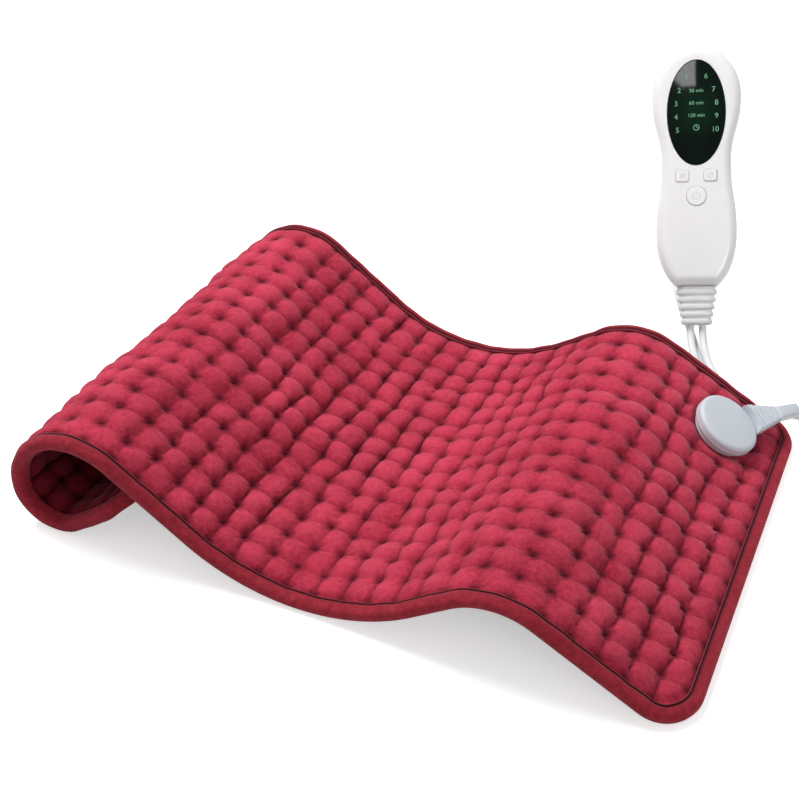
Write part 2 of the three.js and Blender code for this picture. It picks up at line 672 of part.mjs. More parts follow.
// The route bends where the pad's facets do
function folded(route) {
  const points = [];
  route.forEach(([along, across], k) => {
    if (k > 0) {
      const [along0, across0] = route[k - 1];
      const crossed = alongLines.filter((line) => (line - along) * (line - along0) < -1e-6);
      if (along < along0) crossed.reverse();
      for (const line of crossed) {
        const share = (line - along0) / (along - along0);
        points.push([line, across0 + (across - across0) * share]);
      }
    }
    points.push([along, across]);
  });
  return points;
}
const wirePoints = folded(wireRoute()).map(([along, across]) => foldedPlace(along, across, WIRE_HEIGHT));
add('heating_wire', ropeAlong(wirePoints, WIRE_RADIUS, 5), WIRE_COAT);

// Two bimetal cutouts lie between runs of the wire, each within one facet
[[4, 6], [17, 9]].forEach(([row, column], k) => {
  const along = (alongLines[row] + alongLines[row + 1]) / 2;
  const across = acrossLines[column];
  const [length, width, height] = CUTOUT_SIZE;
  const ring = (a) => [[-1, 0], [1, 0], [1, 1], [-1, 1]].map(
    ([side, up]) => foldedPlace(a, across + side * width / 2, up * height),
  );
  const body = loft([ring(along - length / 2), ring(along + length / 2)]);
  add(`thermal_cutout_${k + 1}`, body, DARK_PLASTIC);
});

// Socket: a plate among the felts, a moulded base on the cover, and contact pins through both
add('socket_plate', onPad(cylinder(PLATE_RADIUS, ...PLATE_HEIGHT, 0, 0, 24)), STEEL);
add('socket_base', onPad(cut(
  cylinder(SOCKET_RADIUS, socketLow, socketHigh, 0, 0, 32),
  ...pinHoles(socketLow - 1, socketHigh + 1, PIN_RADIUS + GAP),
)), GREY_PLASTIC);
pinPlaces.forEach(([x, y], k) => {
  const pin = cylinder(PIN_RADIUS, PLATE_HEIGHT[1] + GAP, lowerHigh - CONNECTOR_WALL, x, y, 10);
  add(`contact_pin_${k + 1}`, onPad(pin), BRASS);
});

// Connector: two shells held by screws, spring sleeves for the pins, and a ribbed strain relief
const sleeveRadius = PIN_RADIUS + GAP + SLEEVE_WALL;
const screwPlaces = [-1, 1].map((side) => {
  const angle = rad(CONNECTOR_RELIEF_TURN + side * 90);
  return [CONNECTOR_SCREW_CIRCLE * Math.cos(angle), CONNECTOR_SCREW_CIRCLE * Math.sin(angle)];
});

const reliefAxis = new THREE.Matrix4().makeRotationZ(rad(CONNECTOR_RELIEF_TURN))
  .multiply(new THREE.Matrix4().makeRotationY(rad(-CONNECTOR_RELIEF_TILT)))
  .setPosition(0, 0, (lowerLow + upperHigh) / 2);
const reliefRing = (reach, halfWidth, halfHeight) => roundedRing(halfWidth, halfHeight, 12)
  .map(([y, z]) => vec(reach, y, z));
const neckStart = CONNECTOR_RADIUS - CONNECTOR_NECK.depth;
const neckRing = (reach, play) => reliefRing(
  reach, CONNECTOR_NECK.width + play, CONNECTOR_NECK.height + play,
);
const flangeRing = (reach, play) => reliefRing(
  reach, CONNECTOR_FLANGE.width + play, CONNECTOR_FLANGE.height + play,
);
const neckRings = (play) => [
  neckRing(neckStart - play, play), neckRing(CONNECTOR_RADIUS + CONNECTOR_NECK.width, play),
];
const flangeRings = (play) => [
  flangeRing(neckStart - CONNECTOR_FLANGE.thick - play, play), flangeRing(neckStart + play, play),
];
const onRelief = (rings) => loft(rings).applyMatrix4(reliefAxis);
const holesAt = (places, radius, low, high, sides) => places.map(
  ([x, y]) => cylinder(radius, low, high, x, y, sides),
);
const connectorHoles = (low, high) => holesAt(screwPlaces, SCREW_RADIUS + GAP, low, high, 8);

add('connector_lower_shell', onPad(cut(
  cylinder(CONNECTOR_RADIUS, lowerLow, lowerHigh, 0, 0, 40),
  ...pinHoles(lowerLow - 1, lowerHigh + 1, sleeveRadius + GAP),
  ...connectorHoles(lowerLow - 1, lowerHigh + 1),
  ...holesAt(screwPlaces, SCREW_HEAD_RADIUS + GAP, lowerLow - 1, lowerLow + SCREW_HEAD_HEIGHT + GAP, 12),
  onRelief(neckRings(GAP)),
  onRelief(flangeRings(GAP)),
)), GREY_PLASTIC);

function upperShell() {
  const profile = [
    [0, upperLow], [CONNECTOR_RADIUS, upperLow], [CONNECTOR_RADIUS, upperHigh - CONNECTOR_BEVEL],
    [CONNECTOR_RADIUS - CONNECTOR_BEVEL * 0.35, upperHigh - CONNECTOR_BEVEL * 0.4],
    [CONNECTOR_RADIUS - CONNECTOR_BEVEL * 1.1, upperHigh - CONNECTOR_BEVEL * 0.1], [0, upperHigh],
  ].map(([r, z]) => new THREE.Vector2(r, z));
  const dome = new THREE.LatheGeometry(profile, 40).rotateX(Math.PI / 2);
  const innerHigh = upperHigh - CONNECTOR_WALL;
  const hollow = cylinder(CONNECTOR_RADIUS - CONNECTOR_WALL, upperLow - 1, innerHigh - GAP, 0, 0, 32);
  const bosses = holesAt(screwPlaces, BOSS_RADIUS, upperLow, innerHigh + GAP, 12);
  const shell = join(cut(dome, hollow), ...bosses);
  return cut(
    shell,
    ...connectorHoles(upperLow - 1, innerHigh - GAP),
    onRelief(neckRings(GAP)),
    onRelief(flangeRings(GAP)),
  );
}
add('connector_upper_shell', onPad(upperShell()), GREY_PLASTIC);

pinPlaces.forEach(([x, y], k) => {
  const low = lowerLow + GAP;
  const high = lowerHigh - GAP;
  const sleeve = cut(
    cylinder(sleeveRadius, low, high, x, y, 10),
    cylinder(PIN_RADIUS + GAP, low - 1, high + 1, x, y, 10),
  );
  add(`contact_sleeve_${k + 1}`, onPad(sleeve), BRASS);
});
screwPlaces.forEach(([x, y], k) => {
  const screw = join(
    cylinder(SCREW_HEAD_RADIUS, lowerLow, lowerLow + SCREW_HEAD_HEIGHT, x, y, 12),
    cylinder(SCREW_RADIUS, lowerLow + SCREW_HEAD_HEIGHT / 2, upperHigh - CONNECTOR_WALL - 3 * GAP, x, y, 8),
  );
  add(`connector_screw_${k + 1}`, onPad(screw), STEEL);
});

function connectorRelief() {
  const [wide, middle, narrow] = CONNECTOR_RELIEF_WIDTHS;
  const tall = CONNECTOR_RELIEF_HEIGHT;
  const deep = CONNECTOR_RIB_DEPTH;
  const end = CONNECTOR_RADIUS + CONNECTOR_RELIEF_LENGTH;
  const coneStart = CONNECTOR_RADIUS + 2;
  const coneEnd = CONNECTOR_RADIUS + CONNECTOR_RELIEF_LENGTH / 2;
  const ribPitch = (coneEnd - coneStart) / CONNECTOR_RELIEF_RIBS;
  const rings = [reliefRing(CONNECTOR_RADIUS - tall, wide, tall)];
  for (let k = 0; k <= CONNECTOR_RELIEF_RIBS; k += 1) {
    const reach = coneStart + ribPitch * k;
    const half = wide + (middle - wide) * k / CONNECTOR_RELIEF_RIBS;
    rings.push(reliefRing(reach, half, tall));
    rings.push(reliefRing(reach + ribPitch * 0.17, half - deep, tall - deep));
    rings.push(reliefRing(reach + ribPitch * 0.42, half - deep, tall - deep));
  }
  rings.push(reliefRing(coneEnd + ribPitch * 0.63, narrow, tall + deep / 2));
  rings.push(reliefRing(end, narrow, tall));
  const seatReach = 3 * tall;
  const seat = cylinder(CONNECTOR_RADIUS + GAP, lowerLow - seatReach, upperHigh + seatReach, 0, 0, 48);
  const cone = cut(onRelief(rings), seat);
  return join(cone, onRelief(neckRings(0)), onRelief(flangeRings(0)));
}
add('connector_strain_relief', onPad(connectorRelief()), GREY_PLASTIC);

// Hand controller. Its own frame: x across, y up along the body from the end of its
// strain relief, z off the face, with the parting plane of the shells at z = 0.
const lean = rad(CONTROLLER_LEAN);
const leanSin = Math.sin(lean);
const leanCos = Math.cos(lean);
const controllerLift = PAIR_HEIGHT + LEAD_BEND * (1 - leanCos) + LEAD_STRAIGHT * leanSin;
const controllerTurn = new THREE.Group();
controllerTurn.position.set(CONTROLLER_PLACE.x, CONTROLLER_PLACE.y, controllerLift);
controllerTurn.rotation.z = rad(CONTROLLER_TURN);
const controller = new THREE.Group();
controller.rotation.set(lean, rad(CONTROLLER_ROLL), 0);
controllerTurn.add(controller);
root.add(controllerTurn);

// Outline of the body: widest at head and palm, narrowest at waist and tail
function bodyOutline() {
  const half = new THREE.Path();
  const [tail, palm, waist, head] = [TAIL_WIDTH, PALM_WIDTH, WAIST_WIDTH, HEAD_WIDTH].map((w) => w / 2);
  half.moveTo(tail, 0);
  half.bezierCurveTo(tail + PALM_AT / 5, PALM_AT / 6, palm, PALM_AT / 2, palm, PALM_AT);
  const lower = (WAIST_AT - PALM_AT) / 2;
  half.bezierCurveTo(palm, PALM_AT + lower, waist, WAIST_AT - lower, waist, WAIST_AT);
  const upper = (HEAD_AT - WAIST_AT) / 2;
  half.bezierCurveTo(waist, WAIST_AT + upper, head, HEAD_AT - upper, head, HEAD_AT);
  half.absellipse(0, HEAD_AT, head, BODY_LENGTH - HEAD_AT, 0, Math.PI / 2, false);
  const right = half.getPoints(5);
  const clean = right.filter((p, k) => k === 0 || p.distanceTo(right[k - 1]) > 0.5);
  const left = clean.slice(0, -1).reverse().map((p) => new THREE.Vector2(-p.x, p.y));
  return [...clean, ...left];
}
const outline = bodyOutline().map((p) => new THREE.Vector2(p.x, p.y + RELIEF_LENGTH));

// The outline moved inwards, each corner to where its two sides then meet
function insetOutline(inset) {
  return outline.map((p, k) => {
    const before = outline[(k + outline.length - 1) % outline.length];
    const after = outline[(k + 1) % outline.length];
    const into = (a, b) => new THREE.Vector2(a.y - b.y, b.x - a.x).normalize();
    const n1 = into(before, p);
    const n2 = into(p, after);
    const miter = n1.clone().add(n2).divideScalar(1 + n1.dot(n2));
    return p.clone().addScaledVector(miter, inset);
  });
}

const ringAtHeight = ([inset, z]) => insetOutline(inset).map((p) => vec(p.x, p.y, z));
function shellSolid(depth, wall, sign) {
  const crown = CASE_CROWN - wall;
  const rings = [
    [wall, 0], [wall, CASE_EDGE - wall / 2],
    [wall + crown * 0.3, depth * 0.8 - wall / 2], [wall + crown, depth - wall],
  ];
  return loft(rings.map(([inset, z]) => ringAtHeight([inset, sign * z])));
}

const boardLow = GAP;
const boardHigh = boardLow + BOARD_THICK;
const partsLow = boardHigh + GAP;
const frontInner = FRONT_DEPTH - CASE_WALL;
const rearInner = -(REAR_DEPTH - CASE_WALL);
const fromTail = (place) => place + RELIEF_LENGTH;
const casePlaces = SCREW_PLACES.map(([x, y]) => [x, fromTail(y)]);

// Opening for the strain relief's neck, at the foot of both shells
const neckWidth = RELIEF_WIDTHS[1] - RELIEF_NECK_INSETS[0];
const neckHeight = RELIEF_HEIGHTS[1] - RELIEF_NECK_INSETS[1];
const reliefSection = (y, halfWidth, halfHeight) => roundedRing(halfWidth, halfHeight, 16)
  .map(([x, z]) => vec(x, y, z));
const neckOpening = () => loft([
  reliefSection(RELIEF_LENGTH - 2 * CASE_WALL, neckWidth + GAP, neckHeight + GAP),
  reliefSection(RELIEF_LENGTH + 2.5 * CASE_WALL, neckWidth + GAP, neckHeight + GAP),
]);

const [buttonWidth, buttonHeight] = BUTTON_SIZE;
const rowButton = (name, side) => ({
  name, x: side * BUTTON_ROW_SPACING / 2, y: fromTail(BUTTON_ROW_AT),
  width: buttonWidth, height: buttonHeight, power: 4,
});
const powerButton = {
  name: 'power_button', x: 0, y: fromTail(POWER_BUTTON_AT),
  width: POWER_BUTTON_DIAMETER, height: POWER_BUTTON_DIAMETER, power: 2,
};
const buttons = [rowButton('heat_button', -1), rowButton('timer_button', 1), powerButton];
const buttonPrism = (button, grow, low, high) => loft([low, high].map(
  (z) => roundedRing(button.width / 2 + grow, button.height / 2 + grow, 14, button.power)
    .map(([x, y]) => vec(button.x + x, button.y + y, z)),
));

function frontShell() {
  const windowY = fromTail(WINDOW_AT);
  const [width, height] = WINDOW_SIZE;
  const through = [width - 2 * WINDOW_LEDGE, height - 2 * WINDOW_LEDGE];
  const recess = FRONT_DEPTH - WINDOW_THICK;
  const inside = shellSolid(FRONT_DEPTH, CASE_WALL, 1).translate(0, 0, -1e-3);
  const hollow = cut(shellSolid(FRONT_DEPTH, 0, 1), inside);
  const bosses = holesAt(casePlaces, BOSS_RADIUS, boardHigh + GAP, frontInner + 1, 12);
  return cut(
    join(hollow, ...bosses),
    ...holesAt(casePlaces, SCREW_RADIUS + GAP, boardLow, frontInner - 1, 8),
    ellipsePrism(width + 2 * GAP, height + 2 * GAP, recess, FRONT_DEPTH + 2, 0, windowY),
    ellipsePrism(...through, frontInner - 1, FRONT_DEPTH, 0, windowY),
    ...buttons.map((button) => buttonPrism(button, GAP, frontInner - 1, FRONT_DEPTH + 2)),
    neckOpening(),
  );
}
add('front_shell', frontShell(), WHITE_PLASTIC, controller);

function rearShell() {
  const inside = shellSolid(REAR_DEPTH, CASE_WALL, -1).translate(0, 0, 1e-3);
  const hollow = cut(shellSolid(REAR_DEPTH, 0, -1), inside);
  const bosses = holesAt(casePlaces, BOSS_RADIUS, rearInner - 1, boardLow - GAP, 12);
  const headSeat = -REAR_DEPTH + SCREW_HEAD_HEIGHT + 1;
  return cut(
    join(hollow, ...bosses),
    ...holesAt(casePlaces, SCREW_RADIUS + GAP, -REAR_DEPTH - 1, 1, 8),
    ...holesAt(casePlaces, SCREW_HEAD_RADIUS + GAP, -REAR_DEPTH - 1, headSeat, 12),
    neckOpening(),
  ).translate(0, 0, -GAP);
}
add('rear_shell', rearShell(), WHITE_PLASTIC, controller);

casePlaces.forEach(([x, y], k) => {
  const headLow = -REAR_DEPTH + 0.4;
  const screw = join(
    cylinder(SCREW_HEAD_RADIUS, headLow, headLow + SCREW_HEAD_HEIGHT, x, y, 12),
    cylinder(SCREW_RADIUS, headLow + 1, frontInner - 2, x, y, 8),
  );
  add(`housing_screw_${k + 1}`, screw, STEEL, controller);
});

const [windowWidth, windowHeight] = WINDOW_SIZE;
const windowLow = FRONT_DEPTH - WINDOW_THICK + GAP;
const windowPane = ellipsePrism(windowWidth, windowHeight, windowLow, FRONT_DEPTH, 0, fromTail(WINDOW_AT));
add('display_window', windowPane, BLACK_LENS, controller);
const displayHigh = frontInner - GAP;
const displayLow = displayHigh - BOARD_THICK;
const displayBoard = ellipsePrism(...DISPLAY_BOARD_SIZE, displayLow, displayHigh, 0, fromTail(WINDOW_AT));
add('display_board', displayBoard, BOARD_GREEN, controller);

const [boardStart, boardEnd] = BOARD_SPAN.map(fromTail);
const boardMiddle = (boardStart + boardEnd) / 2;
add('main_board', cut(
  block(BOARD_WIDTH, boardEnd - boardStart, boardLow, boardHigh, 0, boardMiddle),
  ...holesAt(casePlaces, SCREW_RADIUS + GAP, boardLow - 1, boardHigh + 1, 8),
), BOARD_GREEN, controller);
const displayConnector = block(
  DISPLAY_CONNECTOR.width, DISPLAY_CONNECTOR.depth, partsLow, displayLow - GAP,
  0, boardEnd - DISPLAY_CONNECTOR.fromBoardEnd,
);
add('display_connector', displayConnector, DARK_PLASTIC, controller);

// Buttons: a cap through the face, a flange behind it, and a stem over a switch on the board
buttons.forEach((button, k) => {
  const flangeHigh = frontInner - GAP;
  const flangeLow = flangeHigh - BUTTON_FLANGE;
  const stemLow = partsLow + SWITCH_HEIGHT + GAP + BUTTON_TRAVEL;
  const cap = join(
    buttonPrism(button, 0, flangeLow, FRONT_DEPTH + BUTTON_PROUD),
    buttonPrism(button, BUTTON_FLANGE, flangeLow, flangeHigh),
    cylinder(BUTTON_STEM_RADIUS, stemLow, flangeHigh, button.x, button.y, 8),
  );
  add(button.name, cap, WHITE_PLASTIC, controller);
  const switchTop = partsLow + SWITCH_HEIGHT - SWITCH_KEY.height;
  const body = join(
    block(SWITCH_SIDE, SWITCH_SIDE, partsLow, switchTop, button.x, button.y),
    cylinder(SWITCH_KEY.radius, partsLow, partsLow + SWITCH_HEIGHT, button.x, button.y, 8),
  );
  add(`tact_switch_${k + 1}`, body, DARK_PLASTIC, controller);
});

// Parts on the main board
const onBoard = ({ size: [width, depth, height], x, y }) => block(
  width, depth, partsLow, partsLow + height, x, fromTail(y),
);
add('triac', onBoard(TRIAC), DARK_PLASTIC, controller);
add('capacitor', onBoard(CAPACITOR), BRASS, controller);
const fuse = cylinder(FUSE.radius, -FUSE.length / 2, FUSE.length / 2, 0, 0, 14).rotateY(Math.PI / 2);
fuse.translate(0, fromTail(FUSE.y), partsLow + FUSE.radius);
add('fuse', fuse, STEEL, controller);
add('terminal_block', onBoard(TERMINAL_BLOCK), BOARD_GREEN, controller);
const terminalStart = fromTail(TERMINAL_BLOCK.y) - TERMINAL_BLOCK.size[1] / 2;

// Strain relief: ribbed and tapered outside, a neck in the shells and a flange inside them
function controllerRelief() {
  const [narrow, wide] = RELIEF_WIDTHS;
  const [thin, thick] = RELIEF_HEIGHTS;
  const rings = [];
  const ribPitch = (RELIEF_LENGTH - 2 * GAP) / RELIEF_RIBS;
  for (let k = 0; k < RELIEF_RIBS; k += 1) {
    const share = k / (RELIEF_RIBS - 1);
    const halfWidth = narrow + (wide - narrow) * share;
    const halfHeight = thin + (thick - thin) * share;
    const start = k * ribPitch;
    rings.push(reliefSection(start, halfWidth, halfHeight));
    rings.push(reliefSection(start + ribPitch * 0.55, halfWidth, halfHeight));
    if (k < RELIEF_RIBS - 1) {
      const groove = [halfWidth - RELIEF_RIB_DEPTH, halfHeight - RELIEF_RIB_DEPTH];
      rings.push(reliefSection(start + ribPitch * 0.66, ...groove));
      rings.push(reliefSection(start + ribPitch * 0.9, ...groove));
    }
  }
  rings.push(reliefSection(RELIEF_LENGTH - GAP, wide, thick));
  rings.push(reliefSection(RELIEF_LENGTH - GAP + 0.01, neckWidth, neckHeight));
  const flangeStart = RELIEF_LENGTH + CASE_WALL + 5 * GAP;
  rings.push(reliefSection(flangeStart, neckWidth, neckHeight));
  const flange = [neckWidth + RELIEF_FLANGE.grow[0], neckHeight + RELIEF_FLANGE.grow[1]];
  rings.push(reliefSection(flangeStart + 0.01, ...flange));
  rings.push(reliefSection(flangeStart + RELIEF_FLANGE.thick, ...flange));
  return loft(rings);
}
add('controller_strain_relief', controllerRelief(), LEAD_COAT, controller);

const coresStart = RELIEF_LENGTH + CASE_WALL + 6 * GAP + RELIEF_FLANGE.thick;
[['mains_cores', -1], ['pad_cores', 1]].forEach(([name, side]) => {
  const x = side * LEAD_SPACING / 2;
  const end = terminalStart - GAP;
  const points = [0, 0.3, 0.7, 1].map((share) => vec(
    x,
    coresStart + (end - coresStart) * share,
    (partsLow + 2 * CORES_RADIUS) * THREE.MathUtils.smoothstep(share, 0.1, 0.9),
  ));
  add(name, ropeAlong(points, CORES_RADIUS, 8), DARK_PLASTIC, controller);
});

// Places on the floor: along a direction from under the end of the relief, across, up
const onFloor = (turn) => ([along, across, up]) => vec(
  CONTROLLER_PLACE.x - along * Math.sin(turn) + across * Math.cos(turn),
  CONTROLLER_PLACE.y + along * Math.cos(turn) + across * Math.sin(turn),
  up,
);
const byController = onFloor(rad(CONTROLLER_TURN));
const byHank = onFloor(rad(HANK_TURN));

// Both leads leave the relief straight on and bend level, over the lead that passes below them
controllerTurn.updateMatrixWorld(true);
function leaveRelief(across) {
  const beyond = (out) => vec(across, -out, 0).applyMatrix4(controller.matrixWorld);
  const straight = [GAP, LEAD_STRAIGHT].map(beyond);
  const bend = [0.25, 0.5, 0.75, 1].map((share) => {
    const slope = lean * (1 - share);
    const out = LEAD_STRAIGHT * leanCos + LEAD_BEND * (leanSin - Math.sin(slope));
    return byController([-out, across, PAIR_HEIGHT + LEAD_BEND * (1 - Math.cos(slope))]);
  });
  return [...straight, ...bend];
}

// Coil of the pad lead: winds in on the floor, climbs in a half turn and winds out on top
function coilPoints() {
  const points = [];
  const steps = Math.round(COIL_TURNS * WOUND_STEPS);
  const endAngle = -Math.PI / 2;
  const startAngle = endAngle + COIL_TURNS * 2 * Math.PI;
  for (let k = 0; k <= steps; k += 1) {
    const turn = COIL_TURNS * k / steps;
    const half = COIL_TURNS / 2;
    const inset = TURN_PITCH * (half - Math.abs(turn - half));
    const layer = THREE.MathUtils.smoothstep(turn, half - 0.25, half + 0.25);
    const angle = startAngle - turn * 2 * Math.PI;
    const radius = COIL_RADIUS - inset;
    points.push(vec(
      COIL_CENTRE.x + radius * Math.cos(angle),
      COIL_CENTRE.y + radius * Math.sin(angle),
      COIL_LIFT + LEAD_DIAMETER / 2 + TURN_PITCH * layer,
    ));
  }
  return withStraightEnds(points);
}

// Ends of a wound tube run straight and level for one diameter
function withStraightEnds(points) {
  const extend = (p, q) => {
    const out = p.clone().sub(q).setZ(0).normalize();
    return p.clone().addScaledVector(out, LEAD_DIAMETER);
  };
  return [extend(points[0], points[1]), ...points, extend(points.at(-1), points.at(-2))];
}

const coil = coilPoints();
console.log('least gap in the coil, mm:', leastGap(coil, LEAD_DIAMETER, WOUND_STEPS / 2).toFixed(2));
add('pad_lead_coil', ropeAlong(coil, LEAD_DIAMETER / 2, WOUND_SIDES), LEAD_COAT);

// Hank of the mains lead: a round coil that stands on edge behind the controller and carries
// its back. It winds in and out in layers side by side.
const hankReach = HANK_RADIUS + LEAD_DIAMETER / 2;
const hankHeight = hankReach + GAP;
const layerTurns = HANK_TURNS / HANK_LAYERS;
const hankHub = byHank([0, 0, 0]);

function hankPoints() {
  const points = [];
  for (let step = 0; step <= HANK_TURNS * WOUND_STEPS; step += 1) {
    const turn = step / WOUND_STEPS;
    const wave = (turn / layerTurns) % 2;
    const radius = HANK_RADIUS - TURN_PITCH * layerTurns * (1 - Math.abs(1 - wave));
    let layer = 0;
    for (let k = 1; k < HANK_LAYERS; k += 1) {
      layer += THREE.MathUtils.smoothstep(turn, k * layerTurns - 0.25, k * layerTurns + 0.25);
    }
    const angle = 2 * Math.PI * turn;
    const side = TURN_PITCH * (layer - (HANK_LAYERS - 1) / 2);
    points.push(byHank([radius * Math.sin(angle), side, -radius * Math.cos(angle)]).sub(hankHub));
  }
  return points;
}

// The hank stands as far back as its turns touch the rear shell
const faceOff = vec(0, 0, 1).transformDirection(controller.matrixWorld);
const hankTurns = hankPoints();
const hankTouch = Math.max(...hankTurns.map((point) => point.dot(faceOff))) + LEAD_DIAMETER / 2;
const hankStart = byHank([0, HANK_ASIDE, hankHeight]).sub(controllerTurn.position).dot(faceOff);
const hankStep = byHank([1, 0, 0]).sub(hankHub).dot(faceOff);
const hankMiddle = -(REAR_DEPTH + 2 * GAP + hankTouch + hankStart) / hankStep;
const hankPlace = byHank([hankMiddle, HANK_ASIDE, hankHeight]);
const hank = withStraightEnds(hankTurns.map((point) => point.add(hankPlace)));
console.log('least gap in the hank, mm:', leastGap(hank, LEAD_DIAMETER, WOUND_STEPS / 2).toFixed(2));
add('mains_lead_hank', ropeAlong(hank, LEAD_DIAMETER / 2, WOUND_SIDES), LEAD_COAT);

// Ties round the coil and the hank
function tieRing(innerWidth, innerHeight) {
  const reach = innerHeight / 2 + TIE_THICK;
  const outer = block(innerWidth + 2 * TIE_THICK, TIE_WIDTH, -reach, reach);
  return cut(outer, block(innerWidth, TIE_WIDTH + 2, -innerHeight / 2, innerHeight / 2));
}
const layersWide = (count) => (count - 1) * TURN_PITCH + LEAD_DIAMETER + 4 * GAP;
const coilTieHeight = layersWide(2);
const coilTie = tieRing(layersWide(1) + TURN_PITCH * COIL_TURNS / 2 + 3 * GAP, coilTieHeight);
const coilTieReach = COIL_RADIUS - TURN_PITCH * COIL_TURNS / 4;
coilTie.translate(COIL_CENTRE.x + coilTieReach, COIL_CENTRE.y, COIL_LIFT + coilTieHeight / 2 - 2 * GAP);
add('coil_tie', coilTie, LEAD_COAT);

const hankTieHeight = TURN_PITCH * (layerTurns - 0.5) + LEAD_DIAMETER + 8 * GAP;
const hankTie = tieRing(layersWide(HANK_LAYERS), hankTieHeight);
const hankTieReach = HANK_RADIUS - TURN_PITCH * (layerTurns + 0.5) / 2;
hankTie.rotateZ(rad(HANK_TURN));
hankTie.translate(hankPlace.x, hankPlace.y, hankPlace.z + hankTieReach);
add('hank_tie', hankTie, LEAD_COAT);

// Free stretches. Each starts and ends a gap away from what it meets.
const endOf = (points, last) => {
  const [tip, before] = last ? [points.at(-1), points.at(-2)] : [points[0], points[1]];
  return { tip, out: tip.clone().sub(before).normalize() };
};
const meet = (end, distance) => end.tip.clone().addScaledVector(end.out, distance);
const behindPad = ([x, y, z]) => vec(x, PAD_WIDTH + y, z);

const alongRelief = (reach) => vec(reach, 0, 0).applyMatrix4(reliefAxis).applyMatrix4(socketFrame);
const reliefTip = alongRelief(CONNECTOR_RADIUS + CONNECTOR_RELIEF_LENGTH);
const reliefRoot = alongRelief(CONNECTOR_RADIUS);
const fromConnector = { tip: reliefTip, out: reliefTip.clone().sub(reliefRoot).normalize() };
const coilIn = endOf(coil, false);
const coilOut = endOf(coil, true);
const hankIn = endOf(hank, false);
const hankOut = endOf(hank, true);

add('pad_lead_out', leadAlong([
  meet(fromConnector, GAP), meet(fromConnector, LEAD_DIAMETER),
  ...PAD_LEAD_OUT.map(behindPad),
  meet(coilIn, LEAD_DIAMETER), meet(coilIn, GAP),
]), LEAD_COAT);

add('pad_lead_back', leadAlong([
  meet(coilOut, GAP), meet(coilOut, LEAD_DIAMETER),
  ...PAD_LEAD_BACK.map(behindPad),
  ...leaveRelief(LEAD_SPACING / 2).reverse(),
]), LEAD_COAT);

add('mains_lead_loop', leadAlong([
  ...leaveRelief(-LEAD_SPACING / 2),
  ...MAINS_LEAD_LOOP.map(byController),
  meet(hankIn, LEAD_DIAMETER), meet(hankIn, GAP),
]), LEAD_COAT);

// Plug: a moulded body on the floor behind the hank, its strain relief and two blades
const [plugWidth, plugLength, plugHeight] = PLUG_SIZE;
const plugReliefStart = hankMiddle + hankReach + PLUG_GAP_FROM_HANK;
const plugSide = HANK_ASIDE + TURN_PITCH * (HANK_LAYERS - 1) / 2;
const plugAxis = plugHeight / 2 + GAP;
const plugStart = plugReliefStart + PLUG_RELIEF_LENGTH + GAP;
const plug = new THREE.Group();
plug.position.copy(byHank([plugStart, plugSide, plugAxis]));
plug.rotation.z = rad(HANK_TURN);
root.add(plug);
const plugSection = (y, halfWidth, halfHeight) => roundedRing(halfWidth, halfHeight, 20, 4)
  .map(([x, z]) => vec(x, y, z));
const plugRing = (y, inset) => plugSection(y, plugWidth / 2 - inset, plugHeight / 2 - inset);
add('plug_body', loft([
  plugRing(0, PLUG_BEVEL), plugRing(PLUG_BEVEL, 0),
  plugRing(plugLength - PLUG_RIM, 0), plugRing(plugLength, PLUG_RIM),
]), LEAD_COAT, plug);
add('plug_strain_relief', loft([
  plugSection(-GAP - PLUG_RELIEF_LENGTH, ...PLUG_RELIEF_ENDS[0]),
  plugSection(-GAP, ...PLUG_RELIEF_ENDS[1]),
]), LEAD_COAT, plug);
[-1, 1].forEach((side, k) => {
  const [thick, length, tall] = BLADE_SIZE;
  const bladeMiddle = plugLength + GAP + length / 2;
  const blade = block(thick, length, -tall / 2, tall / 2, side * BLADE_SPACING / 2, bladeMiddle);
  add(`plug_blade_${k + 1}`, blade, BRASS, plug);
});

const plugEnd = byHank([plugReliefStart - GAP, plugSide, plugAxis]);
const plugBefore = byHank([plugReliefStart - LEAD_DIAMETER, plugSide, plugAxis]);
add('mains_lead_end', leadAlong([
  meet(hankOut, GAP), meet(hankOut, LEAD_DIAMETER),
  meet(hankOut, LEAD_DIAMETER).lerp(plugBefore, 0.5),
  plugBefore, plugEnd,
]), LEAD_COAT);

// The origin is the middle of the foot of all but the leads and what is on them
root.updateMatrixWorld(true);
const bounds = new THREE.Box3();
root.traverse((item) => {
  if (item.isMesh && !CORD_NODES.includes(item.name)) bounds.expandByObject(item, true);
});
const middle = bounds.getCenter(vec());
root.position.set(-middle.x, -middle.y, -bounds.min.z);
root.updateMatrixWorld(true);
console.log('origin on the plan, mm:', middle.x.toFixed(3), middle.y.toFixed(3), bounds.min.z.toFixed(3));

export default root;
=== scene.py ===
import math

import bpy
import numpy as np
from mathutils import Matrix, Vector


